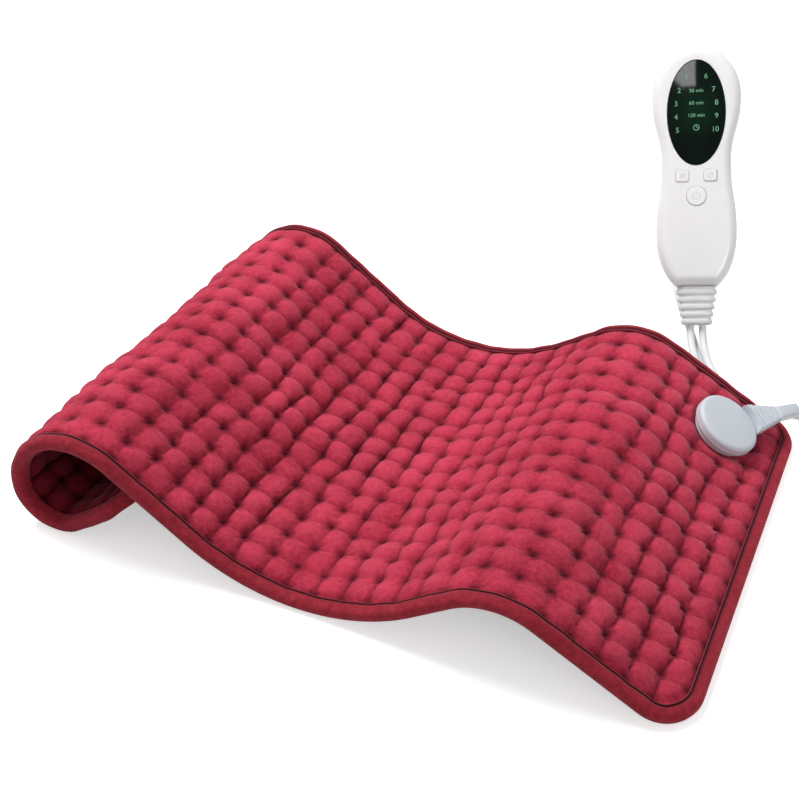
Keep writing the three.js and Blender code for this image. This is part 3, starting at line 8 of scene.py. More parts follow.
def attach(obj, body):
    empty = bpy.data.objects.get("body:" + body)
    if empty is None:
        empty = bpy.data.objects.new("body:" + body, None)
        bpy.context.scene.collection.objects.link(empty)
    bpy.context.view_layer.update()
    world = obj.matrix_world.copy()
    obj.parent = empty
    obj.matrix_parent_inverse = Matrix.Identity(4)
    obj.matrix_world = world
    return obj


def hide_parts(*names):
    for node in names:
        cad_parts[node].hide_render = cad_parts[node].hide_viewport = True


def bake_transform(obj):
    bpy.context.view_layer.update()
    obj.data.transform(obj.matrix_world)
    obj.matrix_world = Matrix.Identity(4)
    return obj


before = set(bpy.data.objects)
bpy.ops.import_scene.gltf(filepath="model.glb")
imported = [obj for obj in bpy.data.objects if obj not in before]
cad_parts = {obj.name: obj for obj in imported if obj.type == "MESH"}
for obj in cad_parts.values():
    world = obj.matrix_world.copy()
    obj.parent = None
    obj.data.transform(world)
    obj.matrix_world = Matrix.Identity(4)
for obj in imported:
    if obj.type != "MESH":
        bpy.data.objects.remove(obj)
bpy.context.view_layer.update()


# Camera. It stands before the pad's right half and looks down on it at 38 degrees,
# with a lens long enough for the pad to fill a square picture.
picture_side = 799
focal_length_in_pixels = 1416
sensor_width = 36
camera_place = (0.287576, -0.793399, 0.645)
camera_tilt, camera_turn = math.radians(52.263), math.radians(23.819)
camera_data = bpy.data.cameras.new("camera")
camera_data.sensor_fit = "HORIZONTAL"
camera_data.sensor_width = sensor_width
camera_data.lens = sensor_width * focal_length_in_pixels / picture_side
camera = bpy.data.objects.new("camera", camera_data)
camera.location = camera_place
camera.rotation_euler = (camera_tilt, 0, camera_turn)
bpy.context.scene.collection.objects.link(camera)
bpy.context.scene.camera = camera


# Felts and heating wire. Two needled felts, a coated wire laid to and fro between them and
# two bimetal cutouts. They are solids of the frame, shut in by the covers, and take a finish.
class Paint:
    """A socket in a finish. Sums on it add their own nodes."""

    def __init__(self, tree, socket=None):
        self.tree = tree
        self.socket = socket

    def node(self, kind, settings=(), inputs=(), out=0):
        made = self.tree.nodes.new("ShaderNode" + kind)
        for name, value in dict(settings).items():
            setattr(made, name, value)
        for name, value in dict(inputs).items():
            if isinstance(value, Paint):
                self.tree.links.new(value.socket, made.inputs[name])
            else:
                made.inputs[name].default_value = value
        return Paint(self.tree, made.outputs[out])

    def maths(self, operation, first, second=0.0):
        return self.node("Math", {"operation": operation}, {0: first, 1: second})

    def __add__(self, other):
        return self.maths("ADD", self, other)

    def __sub__(self, other):
        return self.maths("SUBTRACT", self, other)

    def __rsub__(self, other):
        return self.maths("SUBTRACT", other, self)

    def __mul__(self, other):
        return self.maths("MULTIPLY", self, other)

    def __truediv__(self, other):
        return self.maths("DIVIDE", self, other)

    def __pow__(self, other):
        return self.maths("POWER", self, other)

    __radd__ = __add__
    __rmul__ = __mul__

    def vector(self, operation, other=(0, 0, 0), out=0):
        return self.node("VectorMath", {"operation": operation}, {0: self, 1: other}, out)

    def fade(self, start, end, first, last, settings=()):
        return self.node("MapRange", settings, {0: self, 1: start, 2: end, 3: first, 4: last})

    def blend(self, share, first, second):
        return self.node("Mix", {"data_type": "RGBA"}, {0: share, 6: first, 7: second}, 2)

    def noise(self, place, per_metre, detail=2):
        return self.node("TexNoise", {}, {"Vector": place, "Scale": per_metre, "Detail": detail})

    def bump(self, height, strength, distance):
        inputs = {"Height": height, "Strength": strength, "Distance": distance}
        return self.node("Bump", {}, inputs, "Normal")


def new_finish(name, fixed):
    """A finish with its constant values, the paint to mix on it and the place on the piece."""
    finish = bpy.data.materials.new(name)
    finish.use_nodes = True
    for socket, value in fixed.items():
        finish.node_tree.nodes["Principled BSDF"].inputs[socket].default_value = value
    paint = Paint(finish.node_tree)
    return finish, paint, paint.node("TexCoord", out="Object")


def feed(finish, inputs):
    """Leads painted values into the sockets of a finish."""
    tree = finish.node_tree
    for name, value in inputs.items():
        tree.links.new(value.socket, tree.nodes["Principled BSDF"].inputs[name])
    return finish


def moulded(name, pale, dark, roughness, grain=1500, gloss=0.0, handled=0.16):
    """Moulded plastic: fine grain from the tool, and faint clouds where it was handled."""
    finish, paint, place = new_finish(name, {"Coat Weight": gloss, "Coat Roughness": 0.12})
    clouds = paint.noise(place, 45, 3)
    grains = paint.noise(place, grain)
    return feed(finish, {
        "Base Color": paint.blend(clouds, dark, pale),
        "Roughness": roughness + handled * (clouds - 0.5),
        "Normal": paint.bump(grains, 0.08, 0.0002),
    })


def needled_felt():
    finish, paint, place = new_finish("needled_felt", {"Sheen Weight": 0.3})
    fibres = paint.noise(place, 700, 6)
    clouds = paint.noise(place, 60, 3)
    wool = fibres * 0.6 + clouds * 0.4
    return feed(finish, {
        "Base Color": paint.blend(wool, (0.52, 0.49, 0.44, 1), (0.8, 0.77, 0.71, 1)),
        "Roughness": 0.85 + 0.15 * fibres,
        "Normal": paint.bump(fibres, 0.6, 0.0006),
    })


def coat(piece, finish):
    piece.data.materials.clear()
    piece.data.materials.append(finish)


def dress(finish, *nodes):
    for node in nodes:
        coat(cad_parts[node], finish)


dress(needled_felt(), "upper_felt", "element_carrier")
dress(moulded("silicone_wire_coat", (0.72, 0.66, 0.48, 1), (0.58, 0.52, 0.36, 1), 0.55), "heating_wire")
dark_plastic = moulded("dark_plastic", (0.025, 0.026, 0.028, 1), (0.014, 0.015, 0.017, 1), 0.5)
dress(dark_plastic, "thermal_cutout_1", "thermal_cutout_2")


# Pad covers. Two covers of the same plush, quilted in squares: the stitched corners are held down and
# the filling swells the cloth between them. The pad lies over a crest, in a valley and in a roll.
pad_length = 0.6215
pad_width = 0.305
corner_radius = 0.030
seam_inset = 0.0095
cover_edge = 0.003
cells_along = 31
cells_across = 15
steps_per_cell = 8
margin_steps = 3
near_edge = {
    "hem": 0.007, "toe": (0.049, 30), "slope": 0.076, "crest": (0.049, 65.5), "valley": (0.130, 71.5),
    "roll": (0.046, 128), "heel": (0.025, 122), "tail": (0.056, 9),
}
far_edge = {
    "hem": 0.007, "toe": (0.053, 29.5), "slope": 0.075, "crest": (0.047, 64.5), "valley": (0.119, 71.5),
    "roll": (0.042, 131), "heel": (0.0245, 120), "tail": (0.050, 9),
}
pad_rest = 0.0047
heel_rest = 0.0061
near_right_corner = np.array([0.230176, -0.255099, 0])


def lay_out(edge, size):
    """Lengths and turns of the stretches of an edge, from the right end to the rolled left end."""
    bends = ("toe", "crest", "valley", "roll", "heel")
    toe, crest, valley, roll, heel = (edge[bend] for bend in bends)
    fall_heading = toe[1] - crest[1]
    rise_heading = fall_heading + valley[1]

    def climb(radius, start, end):
        return size * radius * (math.cos(math.radians(start)) - math.cos(math.radians(end)))

    slope = size * edge["slope"]
    crest_end = climb(toe[0], 0, toe[1]) + slope * math.sin(math.radians(toe[1]))
    crest_end -= climb(crest[0], toe[1], fall_heading)
    fall = (crest_end - climb(valley[0], 0, fall_heading)) / math.sin(math.radians(-fall_heading))
    over_roll = rise_heading - roll[1]
    heel_drop = climb(roll[0], rise_heading, over_roll) + climb(heel[0], over_roll, -180)
    lift = heel_rest - pad_rest
    rise = (heel_drop + lift - climb(valley[0], 0, rise_heading)) / math.sin(math.radians(rise_heading))
    arcs = {bend: size * edge[bend][0] * math.radians(edge[bend][1]) for bend in bends}
    lengths = [
        size * edge["hem"], arcs["toe"], slope, arcs["crest"], fall, arcs["valley"], rise,
        arcs["roll"], arcs["heel"], size * edge["tail"][0],
    ]
    turns = [0, toe[1], 0, -crest[1], 0, valley[1], 0, -roll[1], -heel[1], -edge["tail"][1]]
    return np.array(lengths), np.radians(turns)


def mean_length(size):
    return (lay_out(near_edge, size)[0].sum() + lay_out(far_edge, size)[0].sum()) / 2


wave_size = (pad_length - mean_length(0)) / (mean_length(1) - mean_length(0))
near_stretches = lay_out(near_edge, wave_size)
far_stretches = lay_out(far_edge, wave_size)


def edge_at(stretches, share):
    """Place and upper normal of an edge at shares of its length."""
    lengths, turns = stretches
    starts = np.concatenate([[0], np.cumsum(lengths)])
    headings = np.concatenate([[0], np.cumsum(turns)])
    chords = lengths * np.sinc(turns / 2 / np.pi)
    middles = headings[:-1] + turns / 2
    corners_x = np.concatenate([[0], np.cumsum(-chords * np.cos(middles))])
    corners_z = np.concatenate([[0], np.cumsum(chords * np.sin(middles))]) + pad_rest
    along = share * starts[-1]
    stretch = np.clip(np.searchsorted(starts, along, side="right") - 1, 0, len(lengths) - 1)
    part = along - starts[stretch]
    heading = headings[stretch]
    turn = turns[stretch] * part / lengths[stretch]
    chord = part * np.sinc(turn / 2 / np.pi)
    x = corners_x[stretch] - chord * np.cos(heading + turn / 2)
    z = corners_z[stretch] + chord * np.sin(heading + turn / 2)
    return x, z, np.sin(heading + turn), np.cos(heading + turn)


def on_pad(along, across, up):
    """Places on the lying pad: along from the right end, across from the near edge, up."""
    near_x, near_z, near_nx, near_nz = edge_at(near_stretches, along / pad_length)
    far_x, far_z, far_nx, far_nz = edge_at(far_stretches, along / pad_length)
    share = across / pad_width
    x = (near_x + up * near_nx) * (1 - share) + (far_x + up * far_nx) * share
    z = (near_z + up * near_nz) * (1 - share) + (far_z + up * far_nz) * share
    return np.stack([x, across + 0 * x, z], axis=-1) + near_right_corner


fold_lines = np.concatenate([
    [0, cover_edge], np.linspace(seam_inset, pad_length - seam_inset, cells_along + 1),
    [pad_length - cover_edge, pad_length],
])


def on_facets(along, across, up):
    """The same on flat facets that run from line to line of the quilting, as the felts lie."""
    facet = np.clip(np.searchsorted(fold_lines, along, side="right") - 1, 0, len(fold_lines) - 2)
    start, end = fold_lines[facet], fold_lines[facet + 1]
    share = ((along - start) / (end - start))[..., None]
    return on_pad(start, across, up) * (1 - share) + on_pad(end, across, up) * share


def quilted_field():
    """How far the cloth swells between its stitched corners, as shares of a full puff."""
    rows = cells_along * steps_per_cell
    columns = cells_across * steps_per_cell
    bpy.ops.object.select_all(action="DESELECT")
    bpy.ops.mesh.primitive_grid_add(x_subdivisions=rows, y_subdivisions=columns, size=1)
    cloth = bpy.context.object
    places = np.empty((len(cloth.data.vertices), 3))
    cloth.data.vertices.foreach_get("co", places.reshape(-1))
    at_row, at_column = np.rint((places[:, :2] + 0.5) * (rows, columns)).astype(int).T
    blown_up = 10
    places[:, 0] *= blown_up * (pad_length - 2 * seam_inset)
    places[:, 1] *= blown_up * (pad_width - 2 * seam_inset)
    flat = places.copy()
    cloth.data.vertices.foreach_set("co", places.reshape(-1))
    border = (at_row % rows == 0) | (at_column % columns == 0)
    cross_line = at_row % steps_per_cell == 0
    long_line = at_column % steps_per_cell == 0
    crease_hold = 0.25
    held = cloth.vertex_groups.new(name="held")
    held.add(np.flatnonzero(cross_line | long_line).tolist(), crease_hold, "REPLACE")
    held.add(np.flatnonzero(border | (cross_line & long_line)).tolist(), 1, "REPLACE")
    fabric = {
        "quality": 5, "mass": 0.3, "tension_stiffness": 15, "compression_stiffness": 15,
        "shear_stiffness": 5, "bending_stiffness": 0.2, "vertex_group_mass": "held", "use_pressure": True,
        "uniform_pressure_force": 10, "shrink_min": -0.10, "shrink_max": -0.10,
    }
    swelling = cloth.modifiers.new("swelling", "CLOTH")
    for setting, value in fabric.items():
        setattr(swelling.settings, setting, value)
    swelling.settings.effector_weights.gravity = 0
    frames = 20
    swelling.point_cache.frame_start = 1
    swelling.point_cache.frame_end = frames
    for moment in range(1, frames + 1):
        bpy.context.scene.frame_set(moment)
    bpy.ops.object.modifier_apply(modifier="swelling")
    bpy.context.scene.frame_set(1)
    cloth.data.vertices.foreach_get("co", places.reshape(-1))
    moved = np.empty((rows + 1, columns + 1, 3))
    moved[at_row, at_column] = (places - flat) / blown_up
    bpy.data.objects.remove(cloth)
    cell_middles = slice(steps_per_cell // 2, None, steps_per_cell)
    moved[..., 2] /= moved[cell_middles, cell_middles, 2].mean()
    beside_border = (1, 2, 3, -4, -3, -2)
    smoothing_rounds = 6
    for _ in range(smoothing_rounds):
        for edge in beside_border:
            for lines in (moved[edge], moved[:, edge]):
                lines[1:-1] = (lines[:-2] + 2 * lines[1:-1] + lines[2:]) / 4
    return moved


field = quilted_field()
socket_along = 0.055
socket_across = pad_width - 0.055
pressed_radius = 0.0215


def squeezed(along):
    """From 1 where the upper cover is pushed together in a hollow to -1 where a crest stretches it."""
    lengths, turns = near_stretches
    full_bend = 12
    bends = np.clip(turns / lengths / full_bend, -1, 1)
    ends = np.cumsum(lengths) / lengths.sum()
    shares = np.linspace(0, 1, 401)
    bends = bends[np.minimum(np.searchsorted(ends, shares), len(ends) - 1)]
    spread = 31
    softened = np.convolve(np.pad(bends, spread // 2, mode="edge"), np.ones(spread) / spread, "valid")
    return np.interp(along / pad_length, shares, softened)


def drift(seed, spread):
    """Random unevenness from stitch to stitch, with none along the border."""
    stitches = np.random.default_rng(seed).normal(0, spread, (cells_along + 1, cells_across + 1))
    stitches[[0, -1], :] = 0
    stitches[:, [0, -1]] = 0
    for cells in (cells_along, cells_across):
        steps = np.arange(cells * steps_per_cell + 1) / steps_per_cell
        stitches = np.stack([np.interp(steps, np.arange(cells + 1), line) for line in stitches.T])
    return np.pad(stitches, margin_steps)


def cover_lines(whole, count):
    """Grid lines across a cover: a margin, the quilting and the other margin."""
    margin = np.linspace(cover_edge, seam_inset, margin_steps + 1)[:-1]
    quilting = np.linspace(seam_inset, whole - seam_inset, count)
    return np.concatenate([margin, quilting, whole - margin[::-1]])


def from_stitches(place, whole, cells):
    """Distance from the nearest line of stitches."""
    cell = (whole - 2 * seam_inset) / cells
    return np.abs((place - seam_inset + cell / 2) % cell - cell / 2)


def laid_mesh(name, places, faces):
    """A smooth piece from its points and faces."""
    mesh = bpy.data.meshes.new(name)
    mesh.from_pydata(places.tolist(), [], faces.tolist())
    mesh.polygons.foreach_set("use_smooth", np.ones(len(faces), dtype=bool))
    piece = bpy.data.objects.new(name, mesh)
    bpy.context.scene.collection.objects.link(piece)
    return piece


def plush_cover(name, node, finish, moved, dimple, puff, edge, lining):
    """A closed cover: the swollen cloth outside, a plain lining inside, flat under the socket."""
    fullest, roundness = 1.2, 0.75
    puff_fade, seam_fade = 0.005, 0.001
    pit_radius, across_slit_width, along_slit_width = 0.0040, 0.0016, 0.0014
    stitch_drift, nap_height = 0.0014, 0.00008
    press_lift, press_slope = 0.0001, 0.9
    floor_gap = 0.0006
    rows, columns = (count + 2 * margin_steps for count in moved.shape[:2])
    along, across = np.meshgrid(
        cover_lines(pad_length, moved.shape[0]), cover_lines(pad_width, moved.shape[1]), indexing="ij",
    )
    moved = np.pad(moved, ((margin_steps, margin_steps), (margin_steps, margin_steps), (0, 0)))
    into_along = np.maximum(corner_radius - along, along - (pad_length - corner_radius))
    into_across = np.maximum(corner_radius - across, across - (pad_width - corner_radius))
    reach = np.where((into_along > 0) & (into_across > 0), np.hypot(into_along, into_across), 0)
    inside_seam = corner_radius - seam_inset - reach
    quilting = slice(margin_steps, -margin_steps)
    field_share = np.zeros((rows, columns))
    field_share[quilting, quilting] = 1
    field_share *= np.clip(inside_seam / seam_fade + 1, 0, 1)
    swell = np.clip(moved[..., 2], 0, fullest) ** roundness
    swell *= np.clip(inside_seam / puff_fade, 0, 1)
    from_cross_line = from_stitches(along, pad_length, cells_along)
    from_long_line = from_stitches(across, pad_width, cells_across)
    squeeze = np.sign(puff) * squeezed(along)
    pit = np.exp(-(np.hypot(from_cross_line, from_long_line) / pit_radius) ** 2)
    across_slit = np.clip(0.36 + 0.34 * squeeze, 0.04, 0.7) * np.clip(1 + drift(11, 0.55), 0.2, 1.8)
    across_slit *= np.exp(-(from_cross_line / across_slit_width) ** 2)
    along_slit = np.clip(0.22 + drift(12, 0.12), 0.05, 0.5)
    along_slit *= np.exp(-(from_long_line / along_slit_width) ** 2)
    swell *= 1 + 0.12 * squeeze + drift(13, 0.34)
    swell = np.maximum(swell - 0.5 * across_slit - 0.25 * along_slit - 0.25 * pit, 0)
    up = edge + (dimple - edge) * field_share + (puff - dimple) * swell
    rounded = corner_radius - cover_edge
    pull = np.where(reach > rounded, 1 - rounded / np.maximum(reach, rounded), 0)
    along = along + np.where(along < pad_length / 2, 1, -1) * into_along * pull
    across = across + np.where(across < pad_width / 2, 1, -1) * into_across * pull
    if puff > 0:
        away = np.hypot(along - socket_along, across - socket_across)
        up = np.minimum(up, dimple + press_lift + press_slope * np.maximum(away - pressed_radius, 0))
    nap = np.random.default_rng(5).normal(0, nap_height, up.shape) * field_share
    outside = on_pad(
        along + moved[..., 0] + drift(14, stitch_drift),
        across + np.sign(puff) * moved[..., 1] + drift(15, stitch_drift), up + nap,
    )
    lifted = np.maximum(outside[..., 2], floor_gap)
    outside[..., 2] = np.where(field_share > 0.5, lifted, outside[..., 2])
    inside = on_facets(along, across, lining)
    number = np.arange(rows * columns).reshape(rows, columns)
    corners = [number[:-1, 1:], number[1:, 1:], number[1:, :-1], number[:-1, :-1]]
    quads = np.stack(corners, axis=-1).reshape(-1, 4)
    rim = np.concatenate([number[:-1, 0], number[-1, :-1], number[:0:-1, -1], number[0, :0:-1]])
    next_on_rim = np.roll(rim, -1)
    walls = np.stack([rim, next_on_rim, next_on_rim + number.size, rim + number.size], axis=-1)
    faces = np.concatenate([quads, quads[:, ::-1] + number.size, walls])
    if puff < 0:
        faces = faces[:, ::-1]
    cover = laid_mesh(name, np.concatenate([outside.reshape(-1, 3), inside.reshape(-1, 3)]), faces)
    # Marks for the plush finish: how deep each point lies in a pit or slit, for painted shade in the creases,
    # and how high it stands on a puff, for a painted highlight on the puff tops.
    depth = np.maximum(pit, np.maximum(across_slit, along_slit)) * field_share
    for mark, values in (("crease_shade", depth), ("crown", np.clip(swell, 0, 1) ** 2)):
        marked = np.concatenate([values.ravel(), 0 * values.ravel()]).astype(np.float32)
        cover.data.attributes.new(mark, "FLOAT", "POINT").data.foreach_set("value", marked)
    cover.data.materials.append(finish)
    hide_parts(node)
    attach(cover, "pad_and_controller")


def brushed_plush(name, low, high, hollow, crown_highlight, sheen):
    """Short brushed pile: painted shade in the creases between the puffs, a painted highlight on their tops.
    """
    finish, paint, place = new_finish(name, {
        "Sheen Weight": sheen, "Sheen Roughness": 0.4, "Sheen Tint": (1, 0.6, 0.68, 1),
        "Specular IOR Level": 0.05,
    })
    fibres = paint.noise(place, 1300, 5)
    tufts = paint.noise(place, 330, 3)
    brushed = paint.noise(place, 30, 3)
    crease_shade, crown = (
        paint.node("Attribute", {"attribute_name": mark}, out="Fac") for mark in ("crease_shade", "crown")
    )
    lie = 0.5 + 1.4 * (brushed - 0.5) + 1.1 * (tufts - 0.5) + 1.3 * (fibres - 0.5)
    # Painted highlight: the tops of the puffs pale towards pink.
    pile = paint.blend(crown * 0.22, paint.blend(lie, low, high), crown_highlight)
    return feed(finish, {
        # Painted shade: the creases and pits between the puffs go nearly black.
        "Base Color": paint.blend(crease_shade, pile, hollow),
        "Roughness": 0.8 + 0.2 * fibres,
        "Normal": paint.bump(fibres * 0.5 + tufts * 0.5, 0.7, 0.0012),
    })


# Colours: pile tones, painted shade for the creases, painted highlight for the puff tops, then sheen.
crimson_plush = brushed_plush(
    "crimson_plush", (0.28, 0.011, 0.027, 1), (0.64, 0.052, 0.102, 1), (0.024, 0.001, 0.004, 1),
    (0.88, 0.115, 0.195, 1), 0.3,
)
# Painted shade: the under cover takes the same plush made darker and with less sheen, for the shade inside
# the roll and under the arches.
shaded_underside_plush = brushed_plush(
    "shaded_underside_plush", (0.16, 0.006, 0.014, 1), (0.33, 0.022, 0.042, 1), (0.012, 0.0004, 0.001, 1),
    (0.48, 0.06, 0.1, 1), 0.15,
)
plush_cover("pad_top_quilting", "pad_top_cover", crimson_plush, field, 0.0037, 0.0083, 0.0040, 0.0032)
plush_cover(
    "pad_bottom_quilting", "pad_bottom_cover", shaded_underside_plush, field[::-1, ::-1],
    -0.0027, -0.0058, -0.0026, -0.0017,
)


# Edge binding. A tape of brushed knit folded over the edges of covers and felts all the way
# round, and sewn through near its inner edge.
tape_section = np.array([
    (0.0091, 0.0046), (0.0091, 0.0052), (0.0088, 0.0056), (0.0084, 0.0057), (0.0080, 0.0055),
    (0.0077, 0.0050), (0.0075, 0.0046), (0.0073, 0.0050), (0.0069, 0.0056), (0.0062, 0.0060),
    (0.0050, 0.0062), (0.0038, 0.0060), (0.0025, 0.0054), (0.0011, 0.0043), (0.0003, 0.0027),
    (0.0, 0.0007), (0.0003, -0.0013), (0.0011, -0.0029), (0.0025, -0.0038), (0.0042, -0.0043),
    (0.0062, -0.0044), (0.0083, -0.0044), (0.0090, -0.0041), (0.0091, -0.0035), (0.0030, -0.0034),
    (0.0024, -0.0028), (0.0024, 0.0040), (0.0030, 0.0045),
])
tape_middle = 0.0007
tape_floor_gap = 0.0001
sewn_point = 6


def walk(points):
    """Distance walked along some points."""
    return np.concatenate([[0], np.cumsum(np.linalg.norm(np.diff(points, axis=0), axis=1))])


round_tape = walk(tape_section)
seam_across = float(round_tape[sewn_point])


def pad_outline():
    """Points round the flat pad and the directions into it."""
    right, left = corner_radius, pad_length - corner_radius
    near, far = corner_radius, pad_width - corner_radius
    points, inward = [], []
    step = 0.003
    turn = np.linspace(0, np.pi / 2, 17)[:-1]
    sides = [
        ((right, 0), (left, 0), (left, near), -np.pi / 2),
        ((pad_length, near), (pad_length, far), (left, far), 0),
        ((left, pad_width), (right, pad_width), (right, far), np.pi / 2),
        ((0, far), (0, near), (right, near), np.pi),
    ]
    for start, end, middle, angle in sides:
        start, end = np.array(start), np.array(end)
        count = int(round(np.linalg.norm(end - start) / step))
        share = np.arange(count)[:, None] / count
        points.append(start + (end - start) * share)
        inward.append(np.tile([-math.cos(angle), -math.sin(angle)], (count, 1)))
        ray = np.stack([np.cos(turn + angle), np.sin(turn + angle)], axis=-1)
        points.append(np.array(middle) + corner_radius * ray)
        inward.append(-ray)
    return np.concatenate(points), np.concatenate(inward)


def take(piece):
    """Selects one piece alone, for the tools that act on what is selected."""
    bpy.ops.object.select_all(action="DESELECT")
    piece.select_set(True)
    bpy.context.view_layer.objects.active = piece


def face_outwards():
    bpy.ops.object.mode_set(mode="EDIT")
    bpy.ops.mesh.select_all(action="SELECT")
    bpy.ops.mesh.normals_make_consistent(inside=False)
    bpy.ops.object.mode_set(mode="OBJECT")


def sewn_binding():
    """The tape's section carried round the edge, puckered a little by its sewing."""
    points, inward = pad_outline()
    walked = walk(points)
    pucker_waves = ((0.035, 0.0031, 0), (0.03, 0.0047, 1), (0.03, 0.0113, 2))
    pucker = 1 + sum(high * np.sin(walked / long + start) for high, long, start in pucker_waves)
    inset, up = tape_section.T
    flat = points[:, None, :] + inward[:, None, :] * inset[None, :, None]
    height = tape_middle + (up[None, :] - tape_middle) * np.where(up > tape_middle, pucker[:, None], 1)
    places = on_pad(flat[..., 0], flat[..., 1], height)
    places[..., 2] = np.maximum(places[..., 2], tape_floor_gap)
    stations, ring = places.shape[:2]
    number = np.arange(stations * ring).reshape(stations, ring)
    ahead, beside = np.roll(number, -1, axis=0), np.roll(number, -1, axis=1)
    quads = np.stack([number, ahead, np.roll(ahead, -1, axis=1), beside], axis=-1).reshape(-1, 4)
    tape = laid_mesh("edge_tape", places.reshape(-1, 3), quads)
    last_step_round, last_step_across = 0.002, 0.006
    far_round = np.append(walked, walked[-1] + last_step_round)
    far_across = np.append(round_tape, round_tape[-1] + last_step_across)
    station, point = np.meshgrid(np.arange(stations), np.arange(ring), indexing="ij")
    corners = [(0, 0), (1, 0), (1, 1), (0, 1)]
    lay = np.stack([
        np.stack([far_round[station + a], far_across[point + b]], axis=-1) for a, b in corners
    ], axis=2).reshape(-1, 2)
    tape.data.uv_layers.new(name="tape").data.foreach_set("uv", lay.astype(np.float32).ravel())
    take(tape)
    face_outwards()
    return tape


def crimson_tape():
    """Brushed knit: fine ribs along the tape, darker stitches, painted shade in and beside the stitched
    groove, and a painted highlight on the turned edge inside it.
    """
    rib_pitch, stitch_pitch, stitch_share, thread_half = 0.0007, 0.0034, 0.68, 0.0003
    finish, paint, place = new_finish("crimson_tape", {
        "Sheen Weight": 0.3, "Sheen Roughness": 0.4, "Sheen Tint": (1, 0.5, 0.55, 1),
        "Specular IOR Level": 0.15,
    })
    lay = paint.node("UVMap", {"uv_map": "tape"})
    walked, across = (paint.node("SeparateXYZ", {}, {0: lay}, way) for way in "XY")
    fibres = paint.noise(place, 1100, 4)
    clouds = paint.noise(place, 40, 3)
    mottle = paint.noise(place, 260, 3)
    ribs = paint.maths("SINE", across * (2 * math.pi / rib_pitch))
    in_stitch = paint.maths("LESS_THAN", paint.maths("FRACT", walked / stitch_pitch), stitch_share)
    from_seam = paint.maths("ABSOLUTE", across - seam_across)
    stitches = in_stitch * paint.maths("LESS_THAN", from_seam, thread_half)
    # Painted shade: a near-black band along the stitched groove.
    groove_shade = from_seam.fade(0.0008, 0.0024, 1.0, 0.0)
    # Painted highlight: a pale pink line along the turned edge just inside the groove.
    turned_edge_highlight = across.fade(seam_across - 0.0012, seam_across - 0.0004, 1.0, 0.0)
    # Painted shade: the tape is darkest from the stitched groove inwards and lightens out across it over
    # about 8 mm.
    seam_side_shade = across.fade(seam_across + 0.001, seam_across + 0.009, 0.3, 1.0)
    lie = 0.5 + 0.9 * (fibres - 0.5) + 0.7 * (clouds - 0.5) + 1.3 * (mottle - 0.5)
    knit = paint.blend(lie, (0.29, 0.0145, 0.029, 1), (0.64, 0.048, 0.08, 1))
    knit = paint.blend(seam_side_shade, (0.11, 0.004, 0.01, 1), knit)
    highlighted_knit = paint.blend(turned_edge_highlight * 0.25, knit, (0.62, 0.13, 0.19, 1))
    shaded_and_highlighted_knit = paint.blend(groove_shade * 0.95, highlighted_knit, (0.035, 0.001, 0.004, 1))
    return feed(finish, {
        "Base Color": paint.blend(stitches * 0.5, shaded_and_highlighted_knit, (0.14, 0.006, 0.013, 1)),
        "Roughness": 0.68 + 0.2 * fibres,
        "Normal": paint.bump(fibres * 0.5 + mottle * 0.8 + ribs * 0.1 + stitches * 0.5, 0.6, 0.0008),
    })


binding = sewn_binding()
binding.data.materials.append(crimson_tape())
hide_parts("edge_binding")
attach(binding, "pad_and_controller")


# Socket on the pad. A moulded base that presses the plush flat, over a steel plate among the
# felts, with three brass pins standing up through it.
socket_radius = 0.0205
socket_foot = 0.0047
socket_height = 0.0034
socket_top = socket_foot + socket_height
pin_circle = 0.009
pin_hole_radius = 0.0019
tool_overrun = 0.001
smooth_angle = math.radians(38)


def socket_frame():
    """Down the slope, away from the near edge, and off the pad, at the middle of the socket."""
    def place(along, across):
        return Vector(on_facets(np.array(along), np.array(across), 0.0))

    step = 0.001
    middle = place(socket_along, socket_across)
    away = (place(socket_along, socket_across + step) - middle).normalized()
    down = (middle - place(socket_along + step, socket_across)).normalized()
    off = down.cross(away).normalized()
    return Matrix.Translation(middle) @ Matrix((down, off.cross(down), off)).transposed().to_4x4()


on_socket = socket_frame()


def named(piece, name):
    piece.name = name
    piece.data.name = name
    return piece


def drawn_up(name, steps, corner=0, sides=96):
    """A body drawn up from its foot. A step is a height, a half width and a half depth there."""
    bpy.ops.object.select_all(action="DESELECT")
    foot, width, depth = steps[0]
    if corner:
        bpy.ops.mesh.primitive_plane_add(size=2, location=(0, 0, foot))
    else:
        bpy.ops.mesh.primitive_circle_add(vertices=sides, radius=1, fill_type="NGON", location=(0, 0, foot))
    piece = named(bpy.context.object, name)
    piece.scale = (width, depth, 1)
    bpy.ops.object.transform_apply(location=True, rotation=True, scale=True)
    bpy.ops.object.mode_set(mode="EDIT")
    bpy.ops.mesh.select_mode(type="FACE")
    if corner:
        bpy.ops.mesh.bevel(offset=corner, segments=8, affect="VERTICES")
    bpy.ops.mesh.select_all(action="SELECT")
    for (low, width, depth), (high, next_width, next_depth) in zip(steps, steps[1:]):
        bpy.ops.mesh.extrude_region_move(TRANSFORM_OT_translate={"value": (0, 0, high - low)})
        growth = (next_width / width, next_depth / depth, 1)
        bpy.ops.transform.resize(value=growth, center_override=(0, 0, high))
    face_outwards()
    bpy.ops.object.shade_smooth_by_angle(angle=smooth_angle)
    return piece


def turned(*steps):
    """Steps of a round body, from its heights and radii."""
    return [(height, radius, radius) for height, radius in steps]


def shifted(x=0, y=0, z=0):
    return Matrix.Translation((x, y, z))


def settle(piece, place):
    """Puts a piece modelled at the origin in its place, and leaves the place in its mesh."""
    take(piece)
    piece.matrix_world = place
    bpy.ops.object.transform_apply(location=True, rotation=True, scale=True)
    return piece


def modified(piece, kind, **settings):
    """Gives a piece one modifier and applies it."""
    take(piece)
    modifier = piece.modifiers.new(kind, kind)
    for setting, value in settings.items():
        setattr(modifier, setting, value)
    bpy.ops.object.modifier_apply(modifier=kind)


